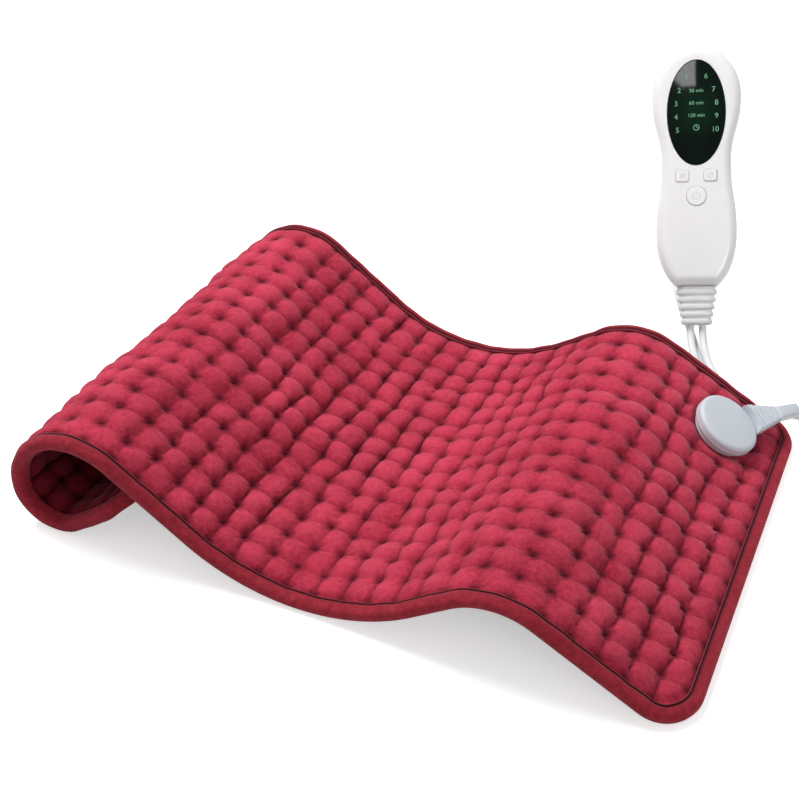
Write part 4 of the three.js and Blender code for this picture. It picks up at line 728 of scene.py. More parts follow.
def cut_away(piece, *tools):
    """Cuts the shapes of the tools out of a piece, and clears the tools away."""
    for tool in tools:
        modified(piece, "BOOLEAN", operation="DIFFERENCE", solver="EXACT", object=tool)
        bpy.data.objects.remove(tool)
    bpy.ops.object.shade_smooth_by_angle(angle=smooth_angle)


def stands_for(piece, place, body, slot, finish, *nodes):
    """Settles a piece in its place, where it stands for solids of the frame."""
    settle(piece, place)
    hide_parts(*nodes)
    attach(piece, body)
    coat(piece, finish)


def worked_metal(name, pale, dark, roughness):
    """Drawn metal: fine scratches along it and a faint tarnish."""
    finish, paint, place = new_finish(name, {"Metallic": 1})
    drawn = paint.node("Mapping", {}, {0: place, "Scale": (1, 1, 0.1)})
    scratches = paint.noise(drawn, 2600, 4)
    clouds = paint.noise(place, 120)
    return feed(finish, {
        "Base Color": paint.blend(clouds, dark, pale),
        "Roughness": roughness + 0.2 * (scratches - 0.5),
        "Normal": paint.bump(scratches, 0.12, 0.0001),
    })


def pin_tools(radius, foot, top):
    """Cutters for the three pin holes, from below the foot to above the top."""
    tools = []
    for angle in np.radians([90, 210, 330]):
        low_and_high = turned((foot - tool_overrun, radius), (top + tool_overrun, radius))
        tool = drawn_up("pin hole", low_and_high, sides=24)
        tools.append(settle(tool, shifted(pin_circle * math.cos(angle), pin_circle * math.sin(angle))))
    return tools


grey_plastic = moulded("pale_grey_plastic", (0.62, 0.655, 0.71, 1), (0.56, 0.595, 0.65, 1), 0.42)
steel = worked_metal("steel", (0.62, 0.63, 0.65, 1), (0.48, 0.49, 0.51, 1), 0.32)
brass = worked_metal("brass", (0.62, 0.45, 0.2, 1), (0.5, 0.36, 0.16, 1), 0.42)
dress(steel, "socket_plate")
dress(brass, "contact_pin_1", "contact_pin_2", "contact_pin_3")
socket_base = drawn_up("socket_moulding", turned(
    (socket_foot, 0.0198), (socket_foot + 0.0007, socket_radius), (socket_top - 0.0008, socket_radius),
    (socket_top - 0.0002, 0.0202), (socket_top, 0.0196), (socket_top, 0.0172), (socket_top - 0.0006, 0.0168),
))
cut_away(socket_base, *pin_tools(pin_hole_radius, socket_foot, socket_top))
stands_for(socket_base, on_socket, "pad_and_controller", "grey_plastic", grey_plastic, "socket_base")


# Connector. A round plug-on puck of two moulded shells held by screws from below, with brass
# spring sleeves for the pins and a ribbed strain relief where the pad lead goes in.
connector_radius = 0.0235
connector_rim = 0.0233
connector_sides = 128
sleeve_hole_radius = 0.003
lower_foot, lower_top = 0.0084, 0.0120
upper_foot, upper_top = 0.0123, 0.0175
crown_height = 0.0030
crown_inset = 0.0034
relief_turn = math.radians(52)
relief_tilt = math.radians(9)
relief_reach = connector_radius + 0.042
relief_seat = 0.0238

lower_shell = drawn_up("connector_lower_half", turned(
    (lower_foot, 0.0214), (lower_foot + 0.0004, 0.0224), (lower_foot + 0.0012, 0.0231),
    (lower_foot + 0.0024, connector_radius), (lower_top - 0.0002, connector_radius),
    (lower_top, connector_rim),
), sides=connector_sides)
cut_away(lower_shell, *pin_tools(sleeve_hole_radius, lower_foot, lower_top))
stands_for(lower_shell, on_socket, "connector", "grey_plastic", grey_plastic, "connector_lower_shell")

crown = [
    (upper_top - crown_height * (1 - math.sin(turn)), connector_radius - crown_inset * (1 - math.cos(turn)))
    for turn in np.linspace(0, math.pi / 2, 9)
]
upper_shell = drawn_up("connector_upper_half", turned(
    (upper_foot, connector_rim), (upper_foot + 0.0002, connector_radius), *crown,
    (upper_top + 0.0003, 0.0150), (upper_top + 0.0005, 0.0090), (upper_top + 0.0006, 0.0030),
), sides=connector_sides)
stands_for(upper_shell, on_socket, "connector", "grey_plastic", grey_plastic, "connector_upper_shell")

dress(brass, "contact_sleeve_1", "contact_sleeve_2", "contact_sleeve_3")
dress(steel, "connector_screw_1", "connector_screw_2")

relief_axis = (
    shifted(z=(lower_foot + upper_top) / 2)
    @ Matrix.Rotation(relief_turn, 4, "Z") @ Matrix.Rotation(-relief_tilt, 4, "Y")
)
upright_to_along_x = Matrix(((0, 0, 1, 0), (1, 0, 0, 0), (0, 1, 0, 0), (0, 0, 0, 1)))


def ribbed(start, end, first, last, ribs, deep):
    """Steps of a taper with ribs and grooves, from its first half sizes to its last ones."""
    rib_shape = ((0, 1), (0.08, 0.2), (0.2, 0), (0.46, 0), (0.58, 0.2), (0.66, 1), (0.99, 1))
    pitch = (end - start) / ribs
    steps = []
    for k in range(ribs):
        width, depth = (a + (b - a) * k / (ribs - 1) for a, b in zip(first, last))
        for along, sunk in rib_shape:
            steps.append((start + (k + along) * pitch, width - sunk * deep, depth - sunk * deep))
    return steps


ribs_start, ribs_end = connector_radius + 0.0016, connector_radius + 0.0225
connector_relief = drawn_up("connector_relief_boot", [
    (connector_radius - 0.004, 0.0110, 0.0042), (connector_radius + 0.0012, 0.0110, 0.0042),
    *ribbed(ribs_start, ribs_end, (0.0107, 0.0042), (0.0064, 0.0041), 5, 0.0008),
    (connector_radius + 0.0235, 0.0052, 0.0042), (connector_radius + 0.0245, 0.0049, 0.0043),
    (relief_reach - 0.0012, 0.0044, 0.0042), (relief_reach - 0.0003, 0.0041, 0.0039),
    (relief_reach, 0.0036, 0.0034),
], corner=0.0026)
settle(connector_relief, relief_axis @ upright_to_along_x)
cut_away(connector_relief, drawn_up("seat", turned((-0.01, relief_seat), (0.04, relief_seat)), sides=128))
stands_for(connector_relief, on_socket, "connector", "grey_plastic", grey_plastic, "connector_strain_relief")


# Inside of the hand controller. A main board and a display board with their parts, wired to
# the two leads. They are solids of the frame, shut in by the shells, and take a finish.
def circuit_board():
    finish, paint, place = new_finish("circuit_board", {"Coat Weight": 0.4})
    tracks = paint.node("TexBrick", {"offset": 0.37}, {
        "Vector": place, "Scale": 160.0, "Mortar Size": 0.03, "Color1": (0.02, 0.16, 0.06, 1),
        "Color2": (0.015, 0.13, 0.05, 1), "Mortar": (0.06, 0.3, 0.12, 1),
    })
    clouds = paint.noise(place, 300)
    return feed(finish, {
        "Base Color": paint.blend(clouds * 0.3, tracks, (0.01, 0.1, 0.04, 1)),
        "Roughness": 0.35 + 0.2 * clouds,
    })


dress(circuit_board(), "main_board", "display_board", "terminal_block")
dress(dark_plastic, "display_connector", "tact_switch_1", "tact_switch_2", "tact_switch_3", "triac")
dress(moulded("core_coat", (0.05, 0.09, 0.3, 1), (0.03, 0.06, 0.2, 1), 0.45), "mains_cores", "pad_cores")
dress(moulded("capacitor_case", (0.62, 0.42, 0.05, 1), (0.5, 0.33, 0.04, 1), 0.4), "capacitor")
dress(steel, "fuse")


# Shells of the hand controller. Two glossy white mouldings, widest at the head and the palm,
# that meet at a fine parting line and are screwed together from the back.
lead_diameter = 0.006
lead_bend = 4 * lead_diameter
lead_straight = 0.002
pair_height = 0.0082
relief_length = 0.030
controller_turn = math.radians(23.8)
controller_lean = math.radians(52)
controller_roll = math.radians(-11.8)
lean_sine, lean_cosine = math.sin(controller_lean), math.cos(controller_lean)
controller_lift = pair_height + lead_bend * (1 - lean_cosine) + lead_straight * lean_sine
controller_foot = Vector((-0.0968, pad_width + 0.0757, controller_lift)) + Vector(near_right_corner)
on_controller = (
    Matrix.Translation(controller_foot) @ Matrix.Rotation(controller_turn, 4, "Z")
    @ Matrix.Rotation(controller_lean, 4, "X") @ Matrix.Rotation(controller_roll, 4, "Y")
)
body_length = 0.185
tail, palm, waist, head = 0.016, 0.0308, 0.0265, 0.034
palm_at, waist_at, head_at = 0.041, 0.094, 0.146
case_wall = 0.0024
case_edge = 0.005
case_crown = 0.0085
front_depth = 0.0126
front_inner = front_depth - case_wall
rear_depth = 0.013
parting_gap = 0.0003
neck_hole = (0.0118, 0.0053)
window_half_width = 0.022
window_half_length = 0.0405
window_at = relief_length + 0.1325
window_thickness = 0.0014
window_play = 0.0003
window_ledge = 0.0016
button_row_at = relief_length + 0.084
button_row_spacing = 0.021
power_button_at = relief_length + 0.0685
button_play = 0.0003
row_button = {"half": (0.005, 0.0045), "hole_corner": 0.0022, "stem_corner": 0.0009}
round_button = {"half": (0.0075, 0.0075), "hole_corner": 0, "stem_corner": 0}
buttons = {
    "heat": (row_button, -button_row_spacing / 2, button_row_at),
    "timer": (row_button, button_row_spacing / 2, button_row_at),
    "power": (round_button, 0, power_button_at),
}
screw_places = [(x, relief_length + y) for y in (0.024, 0.099) for x in (-0.017, 0.017)]
screw_well_radius = 0.0031
upright_to_along_y = Matrix(((1, 0, 0, 0), (0, 0, 1, 0), (0, -1, 0, 0), (0, 0, 0, 1)))


def case_outline():
    """The outline of the body as one drawn curve, filled with a single face."""
    lower, upper = (waist_at - palm_at) / 2, (head_at - waist_at) / 2
    round_top = 0.5523
    right = [
        ((tail, 0), (0, 0), (tail + palm_at / 5, palm_at / 6)),
        ((palm, palm_at), (palm, palm_at / 2), (palm, palm_at + lower)),
        ((waist, waist_at), (waist, waist_at - lower), (waist, waist_at + upper)),
        ((head, head_at), (head, head_at - upper), (head, head_at + round_top * (body_length - head_at))),
    ]
    top = [((0, body_length), (round_top * head, body_length), (-round_top * head, body_length))]
    left = [((-x, y), (-bx, by), (-ax, ay)) for (x, y), (ax, ay), (bx, by) in reversed(right)]
    bpy.ops.object.select_all(action="DESELECT")
    bpy.ops.curve.primitive_bezier_circle_add(radius=1)
    drawn = bpy.context.object
    drawn.data.dimensions = "3D"
    drawn.data.resolution_u = 14
    spline = drawn.data.splines[0]
    corners = right + top + left
    spline.bezier_points.add(len(corners) - len(spline.bezier_points))
    for point, corner in zip(spline.bezier_points, corners):
        point.handle_left_type = "FREE"
        point.handle_right_type = "FREE"
        point.co, point.handle_left, point.handle_right = ((x, y + relief_length, 0) for x, y in corner)
    bpy.ops.object.convert(target="MESH")
    bpy.ops.object.mode_set(mode="EDIT")
    bpy.ops.mesh.select_all(action="SELECT")
    bpy.ops.mesh.remove_doubles(threshold=0.0002)
    bpy.ops.mesh.edge_face_add()
    bpy.ops.object.mode_set(mode="OBJECT")
    return bpy.context.object


def half_case(name, depth):
    """One shell: its outline drawn up into a wall, rounded over, hollowed from below."""
    shell = named(case_outline(), name)
    bpy.ops.object.mode_set(mode="EDIT")
    bpy.ops.mesh.select_mode(type="FACE")
    bpy.ops.mesh.select_all(action="SELECT")
    bpy.ops.mesh.extrude_region_move(TRANSFORM_OT_translate={"value": (0, 0, case_edge)})
    bpy.ops.mesh.normals_make_consistent(inside=False)
    around = np.linspace(0, math.pi / 2, 11)
    insets = case_crown * (1 - np.cos(around))
    heights = case_edge + (depth - case_edge) * np.sin(around)
    for thick, high in zip(np.diff(insets), np.diff(heights)):
        bpy.ops.mesh.inset(thickness=float(thick), depth=float(high), use_even_offset=True)
        bpy.ops.mesh.remove_doubles(threshold=0.0008)
    face_outwards()
    bpy.ops.object.mode_set(mode="EDIT")
    bpy.ops.mesh.select_all(action="DESELECT")
    bpy.ops.object.mode_set(mode="OBJECT")
    for face in shell.data.polygons:
        face.select = face.normal.z < -0.9
    bpy.ops.object.mode_set(mode="EDIT")
    bpy.ops.mesh.delete(type="FACE")
    bpy.ops.object.mode_set(mode="OBJECT")
    modified(shell, "SOLIDIFY", thickness=case_wall, offset=-1)
    bpy.ops.object.shade_smooth_by_angle(angle=smooth_angle)
    return shell


def neck_tool():
    steps = [(relief_length - 0.005, *neck_hole), (relief_length + 0.006, *neck_hole)]
    return settle(drawn_up("neck", steps, corner=0.003), upright_to_along_y)


def window_tool(grow, low):
    width, length = window_half_width + grow, window_half_length + grow
    tool = drawn_up("window hole", [(low, width, length), (front_depth + 0.002, width, length)], sides=128)
    return settle(tool, shifted(0, window_at))


def button_steps(shape, grow, *heights):
    width, length = shape["half"]
    return [(height, width + grow, length + grow) for height in heights]


def button_tool(shape, x, y):
    steps = button_steps(shape, button_play, front_inner - tool_overrun, front_depth + 0.002)
    return settle(drawn_up("button hole", steps, corner=shape["hole_corner"]), shifted(x, y))


def screw_well(x, y):
    steps = turned((-0.015, screw_well_radius), (-0.0102, screw_well_radius))
    return settle(drawn_up("screw well", steps, sides=32), shifted(x, y))


white_plastic = moulded(
    "white_plastic", (0.85, 0.85, 0.865, 1), (0.835, 0.835, 0.85, 1), 0.3, gloss=0.25, handled=0.04,
)
front_shell = half_case("controller_front", front_depth)
button_tools = [button_tool(*button) for button in buttons.values()]
cut_away(
    front_shell, window_tool(window_play, front_depth - window_thickness),
    window_tool(-window_ledge, front_inner - tool_overrun), *button_tools, neck_tool(),
)
stands_for(front_shell, on_controller, "pad_and_controller", "white_plastic", white_plastic, "front_shell")

rear_shell = half_case("controller_back", rear_depth)
settle(rear_shell, Matrix.Diagonal((1, 1, -1, 1)) @ shifted(z=parting_gap))
face_outwards()
cut_away(rear_shell, *[screw_well(x, y) for x, y in screw_places], neck_tool())
stands_for(rear_shell, on_controller, "pad_and_controller", "white_plastic", white_plastic, "rear_shell")


# Housing screws. Four steel pan-head screws with a cross recess, sunk in wells in the back
# shell. One is modelled and copied.
screw_head_foot = -0.0126
screw_head_top = screw_head_foot + 0.0018
screw_head = 0.0028
screw_shank = 0.0014
screw_tip = 0.0082


def copied(piece, name):
    copy = bpy.data.objects.new(name, piece.data.copy())
    bpy.context.scene.collection.objects.link(copy)
    return copy


first_screw = drawn_up("housing_screw", turned(
    (screw_head_foot, 0.0016), (screw_head_foot + 0.0002, 0.0022), (screw_head_foot + 0.0008, screw_head),
    (screw_head_top, screw_head), (screw_head_top, screw_shank), (screw_tip, screw_shank),
), sides=32)
for turn in (0, math.pi / 2):
    slit = drawn_up("slit", [
        (screw_head_foot - tool_overrun, 0.0016, 0.0003), (screw_head_foot + 0.0009, 0.0012, 0.0002),
    ], corner=0.0001)
    cut_away(first_screw, settle(slit, Matrix.Rotation(turn, 4, "Z")))
for number, (x, y) in enumerate(screw_places, 1):
    screw = copied(first_screw, f"housing_screw_head_{number}")
    stands_for(
        screw, on_controller @ shifted(x, y), "pad_and_controller", "steel", steel, f"housing_screw_{number}",
    )
bpy.data.objects.remove(first_screw)


# Display window. A flat pane of smoked black plastic, glossy, let into the front shell. The
# lit figures and marks of the display show on it.
window_foot = front_depth - window_thickness + window_play
glow_reach = 0.026
mark_height = front_depth + 0.00002
mark_thickness = 0.00006
level_size, minutes_size = 0.0056, 0.0040
level_places = [(0.0073, 0.0275), (0.0129, 0.0172), (0.0152, 0.0070), (0.0152, -0.0032), (0.0142, -0.0134)]
minutes_places = [("30 min", 0.0167), ("60 min", 0.0072), ("120 min", -0.0023)]


def smoked_pane():
    """Black plastic, with a trace of green light from the display in its middle."""
    finish, paint, place = new_finish("smoked_pane", {"Specular IOR Level": 0.02, "Emission Strength": 1})
    clouds = paint.noise(place, 60)
    middle = tuple(on_controller @ Vector((0, window_at + 0.002, front_depth)))
    away = place.vector("DISTANCE", middle, "Value")
    glow = away.fade(0.0, glow_reach, 1.0, 0.0, {"interpolation_type": "SMOOTHSTEP"})
    return feed(finish, {
        "Base Color": paint.blend(clouds, (0.001, 0.002, 0.0015, 1), (0.002, 0.004, 0.003, 1)),
        "Roughness": 0.05 + 0.04 * clouds,
        "Emission Color": paint.blend(glow, (0, 0, 0, 1), (0.001, 0.014, 0.005, 1)),
    })


def lit_marks():
    finish, paint, place = new_finish("lit_marks", {"Emission Strength": 0.1})
    clouds = paint.noise(place, 900, 1)
    glow = paint.blend(clouds, (0.07, 0.28, 0.14, 1), (0.22, 0.48, 0.3, 1))
    return feed(finish, {"Base Color": glow, "Emission Color": glow, "Roughness": 0.3 + 0.1 * clouds})


window = drawn_up("display_pane", [
    (window_foot, window_half_width, window_half_length),
    (front_depth - 0.0004, window_half_width, window_half_length),
    (front_depth - 0.0001, window_half_width - 0.0002, window_half_length - 0.0002),
    (front_depth, window_half_width - 0.0006, window_half_length - 0.0006),
], sides=128)
stands_for(
    window, on_controller @ shifted(0, window_at), "pad_and_controller", "display_lens", smoked_pane(),
    "display_window",
)
display_marks = lit_marks()


def lay_on(mark, body, finish, place):
    """Lays a sign or figure on a face of the controller."""
    settle(mark, on_controller @ place)
    coat(mark, finish)
    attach(mark, body)


def figure(name, text, size, x, y):
    """One lit figure, drawn as text, made a mesh and laid on the pane."""
    bpy.ops.object.select_all(action="DESELECT")
    bpy.ops.object.text_add()
    drawn = bpy.context.object.data
    drawn.body = text
    drawn.size = size
    drawn.align_x = "CENTER"
    drawn.align_y = "CENTER"
    drawn.extrude = mark_thickness / 2
    bpy.ops.object.convert(target="MESH")
    mark = named(bpy.context.object, name)
    lay_on(mark, "pad_and_controller", display_marks, shifted(x, window_at + y, mark_height))


for level, (x, y) in enumerate(level_places, 1):
    figure(f"figure_{level + 5}", str(level + 5), level_size, x, y)
    figure(f"figure_{level}", str(level), level_size, -x, y)
for number, (minutes, y) in enumerate(minutes_places, 1):
    figure(f"timer_figure_{number}", minutes, minutes_size, 0, y)


def round_strokes(name, lines, thickness, rounding):
    """Round strokes along lines of places, made a mesh."""
    curve = bpy.data.curves.new(name, "CURVE")
    curve.dimensions = "3D"
    curve.bevel_depth = thickness / 2
    curve.bevel_resolution = rounding
    curve.use_fill_caps = True
    for line in lines:
        spline = curve.splines.new("POLY")
        spline.points.add(len(line) - 1)
        for point, place in zip(spline.points, line):
            point.co = (*place, 1)
    drawn = bpy.data.objects.new(name, curve)
    bpy.context.scene.collection.objects.link(drawn)
    take(drawn)
    bpy.ops.object.convert(target="MESH")
    return bpy.context.object


def drawn_mark(name, strokes, thick, body, slot, finish, x, y, high):
    """A small sign of thin strokes, flattened and laid on a face of the controller."""
    mark = round_strokes(name, [[(*place, 0) for place in stroke] for stroke in strokes], thick, 1)
    flat = Matrix.Diagonal((1, 1, mark_thickness / thick, 1))
    lay_on(mark, body, finish, shifted(x, y, high) @ flat)


def arc(radius, start, end, steps=24):
    angles = np.radians(np.linspace(start, end, steps))
    return [(radius * math.sin(angle), radius * math.cos(angle)) for angle in angles]


def clock(radius):
    return [arc(radius, 0, 360), [(0, 0.6 * radius), (0, 0), (0.45 * radius, 0)]]


drawn_mark(
    "timer_sign", clock(0.0021), 0.0006, "pad_and_controller", "display_lens", display_marks,
    0, window_at - 0.0116, mark_height,
)


# Buttons. Three white caps that pass through the front shell, each with a flange behind it and
# a stem over its switch. Heat and timer are small and square, power is round.
cap_top = front_depth + 0.0007
cap_rim = ((0.0006, 0), (0.00025, -0.00012), (0.00006, -0.0004), (0, -0.0009))
flange_top = front_inner - 0.0003
flange_foot = flange_top - 0.0011
flange_width = 0.0011
stem_foot = 0.0061
stem_radius = 0.0022
sign_thickness = 0.0004
sign_height = cap_top + 0.00001


def cap(name, node, shape, x, y):
    """One button: a stem, a flange wider than its hole, and a cap with a rounded rim."""
    button = drawn_up(name, [
        *turned((stem_foot, stem_radius), (flange_foot, stem_radius)),
        *button_steps(shape, flange_width, flange_foot, flange_top), *button_steps(shape, 0, flange_top),
        *[step for below, grow in cap_rim for step in button_steps(shape, grow, cap_top - below)],
    ], corner=shape["stem_corner"])
    stands_for(button, on_controller @ shifted(x, y), node, "white_plastic", white_plastic, node)


for name, button in buttons.items():
    cap(f"{name}_cap", f"{name}_button", *button)
printed_grey = moulded("printed_grey", (0.6, 0.61, 0.63, 1), (0.52, 0.53, 0.55, 1), 0.5)
wave_half, wave_swing, wave_spacing = 0.0019, 0.00035, 0.0014
rising = np.linspace(-wave_half, wave_half, 13)
signs = [
    ("heat_sign", "heat", [
        [(aside + wave_swing * math.sin(up / wave_half * math.pi), up) for up in rising]
        for aside in (-wave_spacing, 0, wave_spacing)
    ]),
    ("clock_sign", "timer", clock(0.0019)),
    ("power_sign", "power", [arc(0.0027, 35, 325), [(0, 0.0006), (0, 0.0034)]]),
]
for name, button, strokes in signs:
    place = (*buttons[button][1:], sign_height)
    drawn_mark(name, strokes, sign_thickness, f"{button}_button", "white_plastic", printed_grey, *place)


# Strain relief of the controller. A ribbed taper of soft white plastic round both leads, its
# neck held between the shells.
relief_neck = (0.0115, 0.0050)
relief_flange = (0.0131, 0.0059)
relief_boot = drawn_up("controller_relief_boot", [
    (0.0, 0.0098, 0.0052), (0.0006, 0.0112, 0.0060),
    *ribbed(0.0008, relief_length - 0.0008, (0.0122, 0.0066), (0.0156, 0.0080), 5, 0.0011),
    (relief_length - 0.0005, 0.0150, 0.0076), (relief_length - 0.0003, *relief_neck),
    (relief_length + 0.0039, *relief_neck), (relief_length + 0.0039, *relief_flange),
    (relief_length + 0.0059, *relief_flange),
], corner=0.004)
lead_white = moulded("white_sheath", (0.80, 0.80, 0.815, 1), (0.74, 0.74, 0.755, 1), 0.42, grain=900)
stands_for(
    relief_boot, on_controller @ upright_to_along_y, "pad_and_controller", "lead_sheath", lead_white,
    "controller_strain_relief",
)


# Leads. Two round white leads leave the controller side by side. The pad lead runs behind the
# pad to a tied coil at its right and on to the connector. The mains lead loops under the crest
# and comes back to a tied hank, wound round on edge behind the controller.
lead_spacing = 0.0093
turn_pitch = 0.0067
turn_steps = 24
coil_radius = 0.0374
coil_middle = np.array([0.055, pad_width + 0.038])
coil_turns = 2.66
coil_lift = 0.002
end_gap = 0.0003
behind_pad = near_right_corner + np.array([0, pad_width, 0])
pad_lead_out = np.array([(0.007, 0.012, 0.0155), (0.0125, 0.026, 0.0105), (0.0165, 0.040, 0.0068)])
pad_lead_back = np.array([
    (0.038, 0.003, 0.009), (0.024, 0.008, 0.0055), (0.009, 0.0145, 0.0034), (-0.005, 0.0155, 0.0033),
    (-0.018, 0.013, 0.0033), (-0.032, 0.0115, 0.0033), (-0.044, 0.014, 0.0034), (-0.055, 0.020, 0.004),
    (-0.0645, 0.0275, 0.0054), (-0.0727, 0.0371, 0.007), (-0.0796, 0.0483, 0.008),
])
hank_radius = 0.0585
hank_turns = 6
hank_layers = 4
layer_turns = hank_turns / hank_layers
hank_turn = math.radians(14.4)
hank_aside = -0.006
hank_reach = hank_radius + lead_diameter / 2
hank_height = hank_reach + end_gap
mains_lead_loop = np.array([
    (-0.032, -0.0049, 0.008), (-0.044, -0.0075, 0.007), (-0.057, -0.015, 0.0052), (-0.074, -0.032, 0.0036),
    (-0.088, -0.054, 0.0033), (-0.101, -0.070, 0.0033), (-0.119, -0.073, 0.0033), (-0.133, -0.061, 0.0033),
    (-0.137, -0.041, 0.0033), (-0.126, -0.024, 0.0033), (-0.105, -0.015, 0.0033), (-0.084, -0.007, 0.0033),
    (-0.065, -0.001, 0.0033), (-0.047, 0, 0.0033), (-0.028, 0, 0.0032), (-0.006, 0, 0.0032),
    (0.020, -0.0006, 0.0032), (0.048, -0.002, 0.0032), (0.074, -0.0024, 0.0033), (0.094, -0.0006, 0.0034),
])
plug_width, plug_length, plug_height = 0.026, 0.034, 0.022
plug_relief_length = 0.026
plug_stand_off = 0.012
plug_axis = plug_height / 2 + end_gap
plug_side = hank_aside + turn_pitch * (hank_layers - 1) / 2


def on_floor(turn, along, across, up):
    """Places along a direction from under the end of the controller's relief, to its right, up."""
    x = controller_foot[0] - along * math.sin(turn) + across * math.cos(turn)
    y = controller_foot[1] + along * math.cos(turn) + across * math.sin(turn)
    return np.stack(np.broadcast_arrays(x, y, up), axis=-1)


def out_of_relief(across):
    """A lead leaves the relief straight on and bends level, over the lead that passes below it."""
    straight = [np.array(on_controller @ Vector((across, -out, 0))) for out in (end_gap, lead_straight)]
    slope = controller_lean * np.array([0.75, 0.5, 0.25, 0])
    out = lead_straight * lean_cosine + lead_bend * (lean_sine - np.sin(slope))
    bend = on_floor(controller_turn, -out, across, pair_height + lead_bend * (1 - np.cos(slope)))
    return [*straight, *bend]


def smooth_step(value, low, high):
    share = np.clip((value - low) / (high - low), 0, 1)
    return share * share * (3 - 2 * share)


def past(points, distance):
    """A place beyond the last of some points, in the direction they end in."""
    out = points[-1] - points[-2]
    return points[-1] + out / np.linalg.norm(out) * distance


def level_ends(points):
    """Both ends of a winding run on level for one diameter."""
    def beyond(tip, before):
        return past(np.array([(*before[:2], tip[2]), tip]), lead_diameter)

    return np.concatenate([[beyond(points[0], points[1])], points, [beyond(points[-1], points[-2])]])


def coil_route():
    """Winds in on the floor, climbs in half a turn and winds out on top."""
    count = round(coil_turns * turn_steps)
    turn = coil_turns * np.arange(count + 1) / count
    half = coil_turns / 2
    radius = coil_radius - turn_pitch * (half - np.abs(turn - half))
    angle = -np.pi / 2 + (coil_turns - turn) * 2 * np.pi
    x = coil_middle[0] + radius * np.cos(angle)
    y = coil_middle[1] + radius * np.sin(angle)
    z = coil_lift + lead_diameter / 2 + turn_pitch * smooth_step(turn, half - 0.25, half + 0.25)
    return level_ends(np.stack([x, y, z], axis=-1) + near_right_corner)


def hank_route():
    """A round coil on edge behind the controller. It winds in and out in layers side by side."""
    turn = np.arange(hank_turns * turn_steps + 1) / turn_steps
    wave = (turn / layer_turns) % 2
    radius = hank_radius - turn_pitch * layer_turns * (1 - np.abs(1 - wave))
    climbs = layer_turns * np.arange(1, hank_layers)
    layer = sum(smooth_step(turn, climb - 0.25, climb + 0.25) for climb in climbs)
    side = turn_pitch * (layer - (hank_layers - 1) / 2)
    angle = 2 * np.pi * turn
    hub = on_floor(hank_turn, 0.0, 0.0, 0.0)
    turns = on_floor(hank_turn, radius * np.sin(angle), side, -radius * np.cos(angle)) - hub
    face_off = np.array(on_controller.to_3x3() @ Vector((0, 0, 1)))
    touch = (turns @ face_off).max() + lead_diameter / 2
    start = (on_floor(hank_turn, 0.0, hank_aside, hank_height) - np.array(controller_foot)) @ face_off
    step = (on_floor(hank_turn, 1.0, 0.0, 0.0) - hub) @ face_off
    middle = -(rear_depth + 2 * end_gap + touch + start) / step
    return level_ends(turns + on_floor(hank_turn, middle, hank_aside, hank_height)), middle


def bend_radius(route):
    """Radius of the circle through each point of a route and its two neighbours."""
    before, here, after = route[:-2], route[1:-1], route[2:]
    sides = [np.linalg.norm(q - p, axis=1) for p, q in ((before, here), (here, after), (after, before))]
    area = np.linalg.norm(np.cross(here - before, after - before), axis=1) / 2
    return sides[0] * sides[1] * sides[2] / np.maximum(4 * area, 1e-12)


def eased(route):
    """The route with its tight bends let out, as a stiff lead does by itself."""
    rounds, tightest, lowest = 300, 0.98 * lead_bend, lead_diameter / 2 + 0.0001
    for _ in range(rounds):
        tight = bend_radius(route) < tightest
        route[1:-1] += ((route[:-2] + route[2:]) / 2 - route[1:-1]) * 0.5 * tight[:, None]
        route[1:-1, 2] = np.maximum(route[1:-1, 2], lowest)
    return route


def between(first, last, start, end, moment):
    """The place at a moment on the way from one place to another."""
    return (first * (end - moment) + last * (moment - start)) / (end - start)


def smooth_route(points):
    """A rounded curve through all the points, as even small steps, and its length."""
    points = np.asarray(points)
    points = np.concatenate([[2 * points[0] - points[1]], points, [2 * points[-1] - points[-2]]])
    knots = np.concatenate([[0], np.cumsum(np.linalg.norm(np.diff(points, axis=0), axis=1) ** 0.5)])
    route = []
    for k in range(1, len(points) - 2):
        four, knot = points[k - 1:k + 3], knots[k - 1:k + 3]
        moments = np.linspace(knot[1], knot[2], 9)[:-1, None]
        lines = [between(four[n], four[n + 1], knot[n], knot[n + 1], moments) for n in range(3)]
        bows = [between(lines[n], lines[n + 1], knot[n], knot[n + 2], moments) for n in range(2)]
        route.append(between(*bows, knot[1], knot[2], moments))
    route = np.concatenate([*route, [points[-2]]])
    walked = walk(route)
    step = 0.003
    even = np.linspace(0, walked[-1], int(walked[-1] / step) + 1)
    route = eased(np.stack([np.interp(even, walked, route[:, n]) for n in range(3)], axis=-1))
    return route, float(walk(route)[-1])


def lead(name, route, *nodes):
    """A round lead: a curve through the route, given its thickness and made a mesh."""
    drawn = round_strokes(name, [route], lead_diameter, 4)
    bpy.ops.object.shade_smooth_by_angle(angle=math.radians(60))
    coat(drawn, lead_white)
    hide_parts(*nodes)
    return drawn


coil = coil_route()
relief_line = on_socket @ relief_axis
connector_end = np.array([relief_line @ Vector((reach, 0, 0)) for reach in (connector_radius, relief_reach)])
pad_lead_route, pad_lead_length = smooth_route([
    *out_of_relief(lead_spacing / 2), *(pad_lead_back[::-1] + behind_pad),
    past(coil, lead_diameter), *coil[::-1], past(coil[::-1], lead_diameter),
    *(pad_lead_out[::-1] + behind_pad), past(connector_end, lead_diameter), past(connector_end, end_gap),
])
pad_lead = lead("pad_lead", pad_lead_route, "pad_lead_out", "pad_lead_coil", "pad_lead_back")
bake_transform(pad_lead)

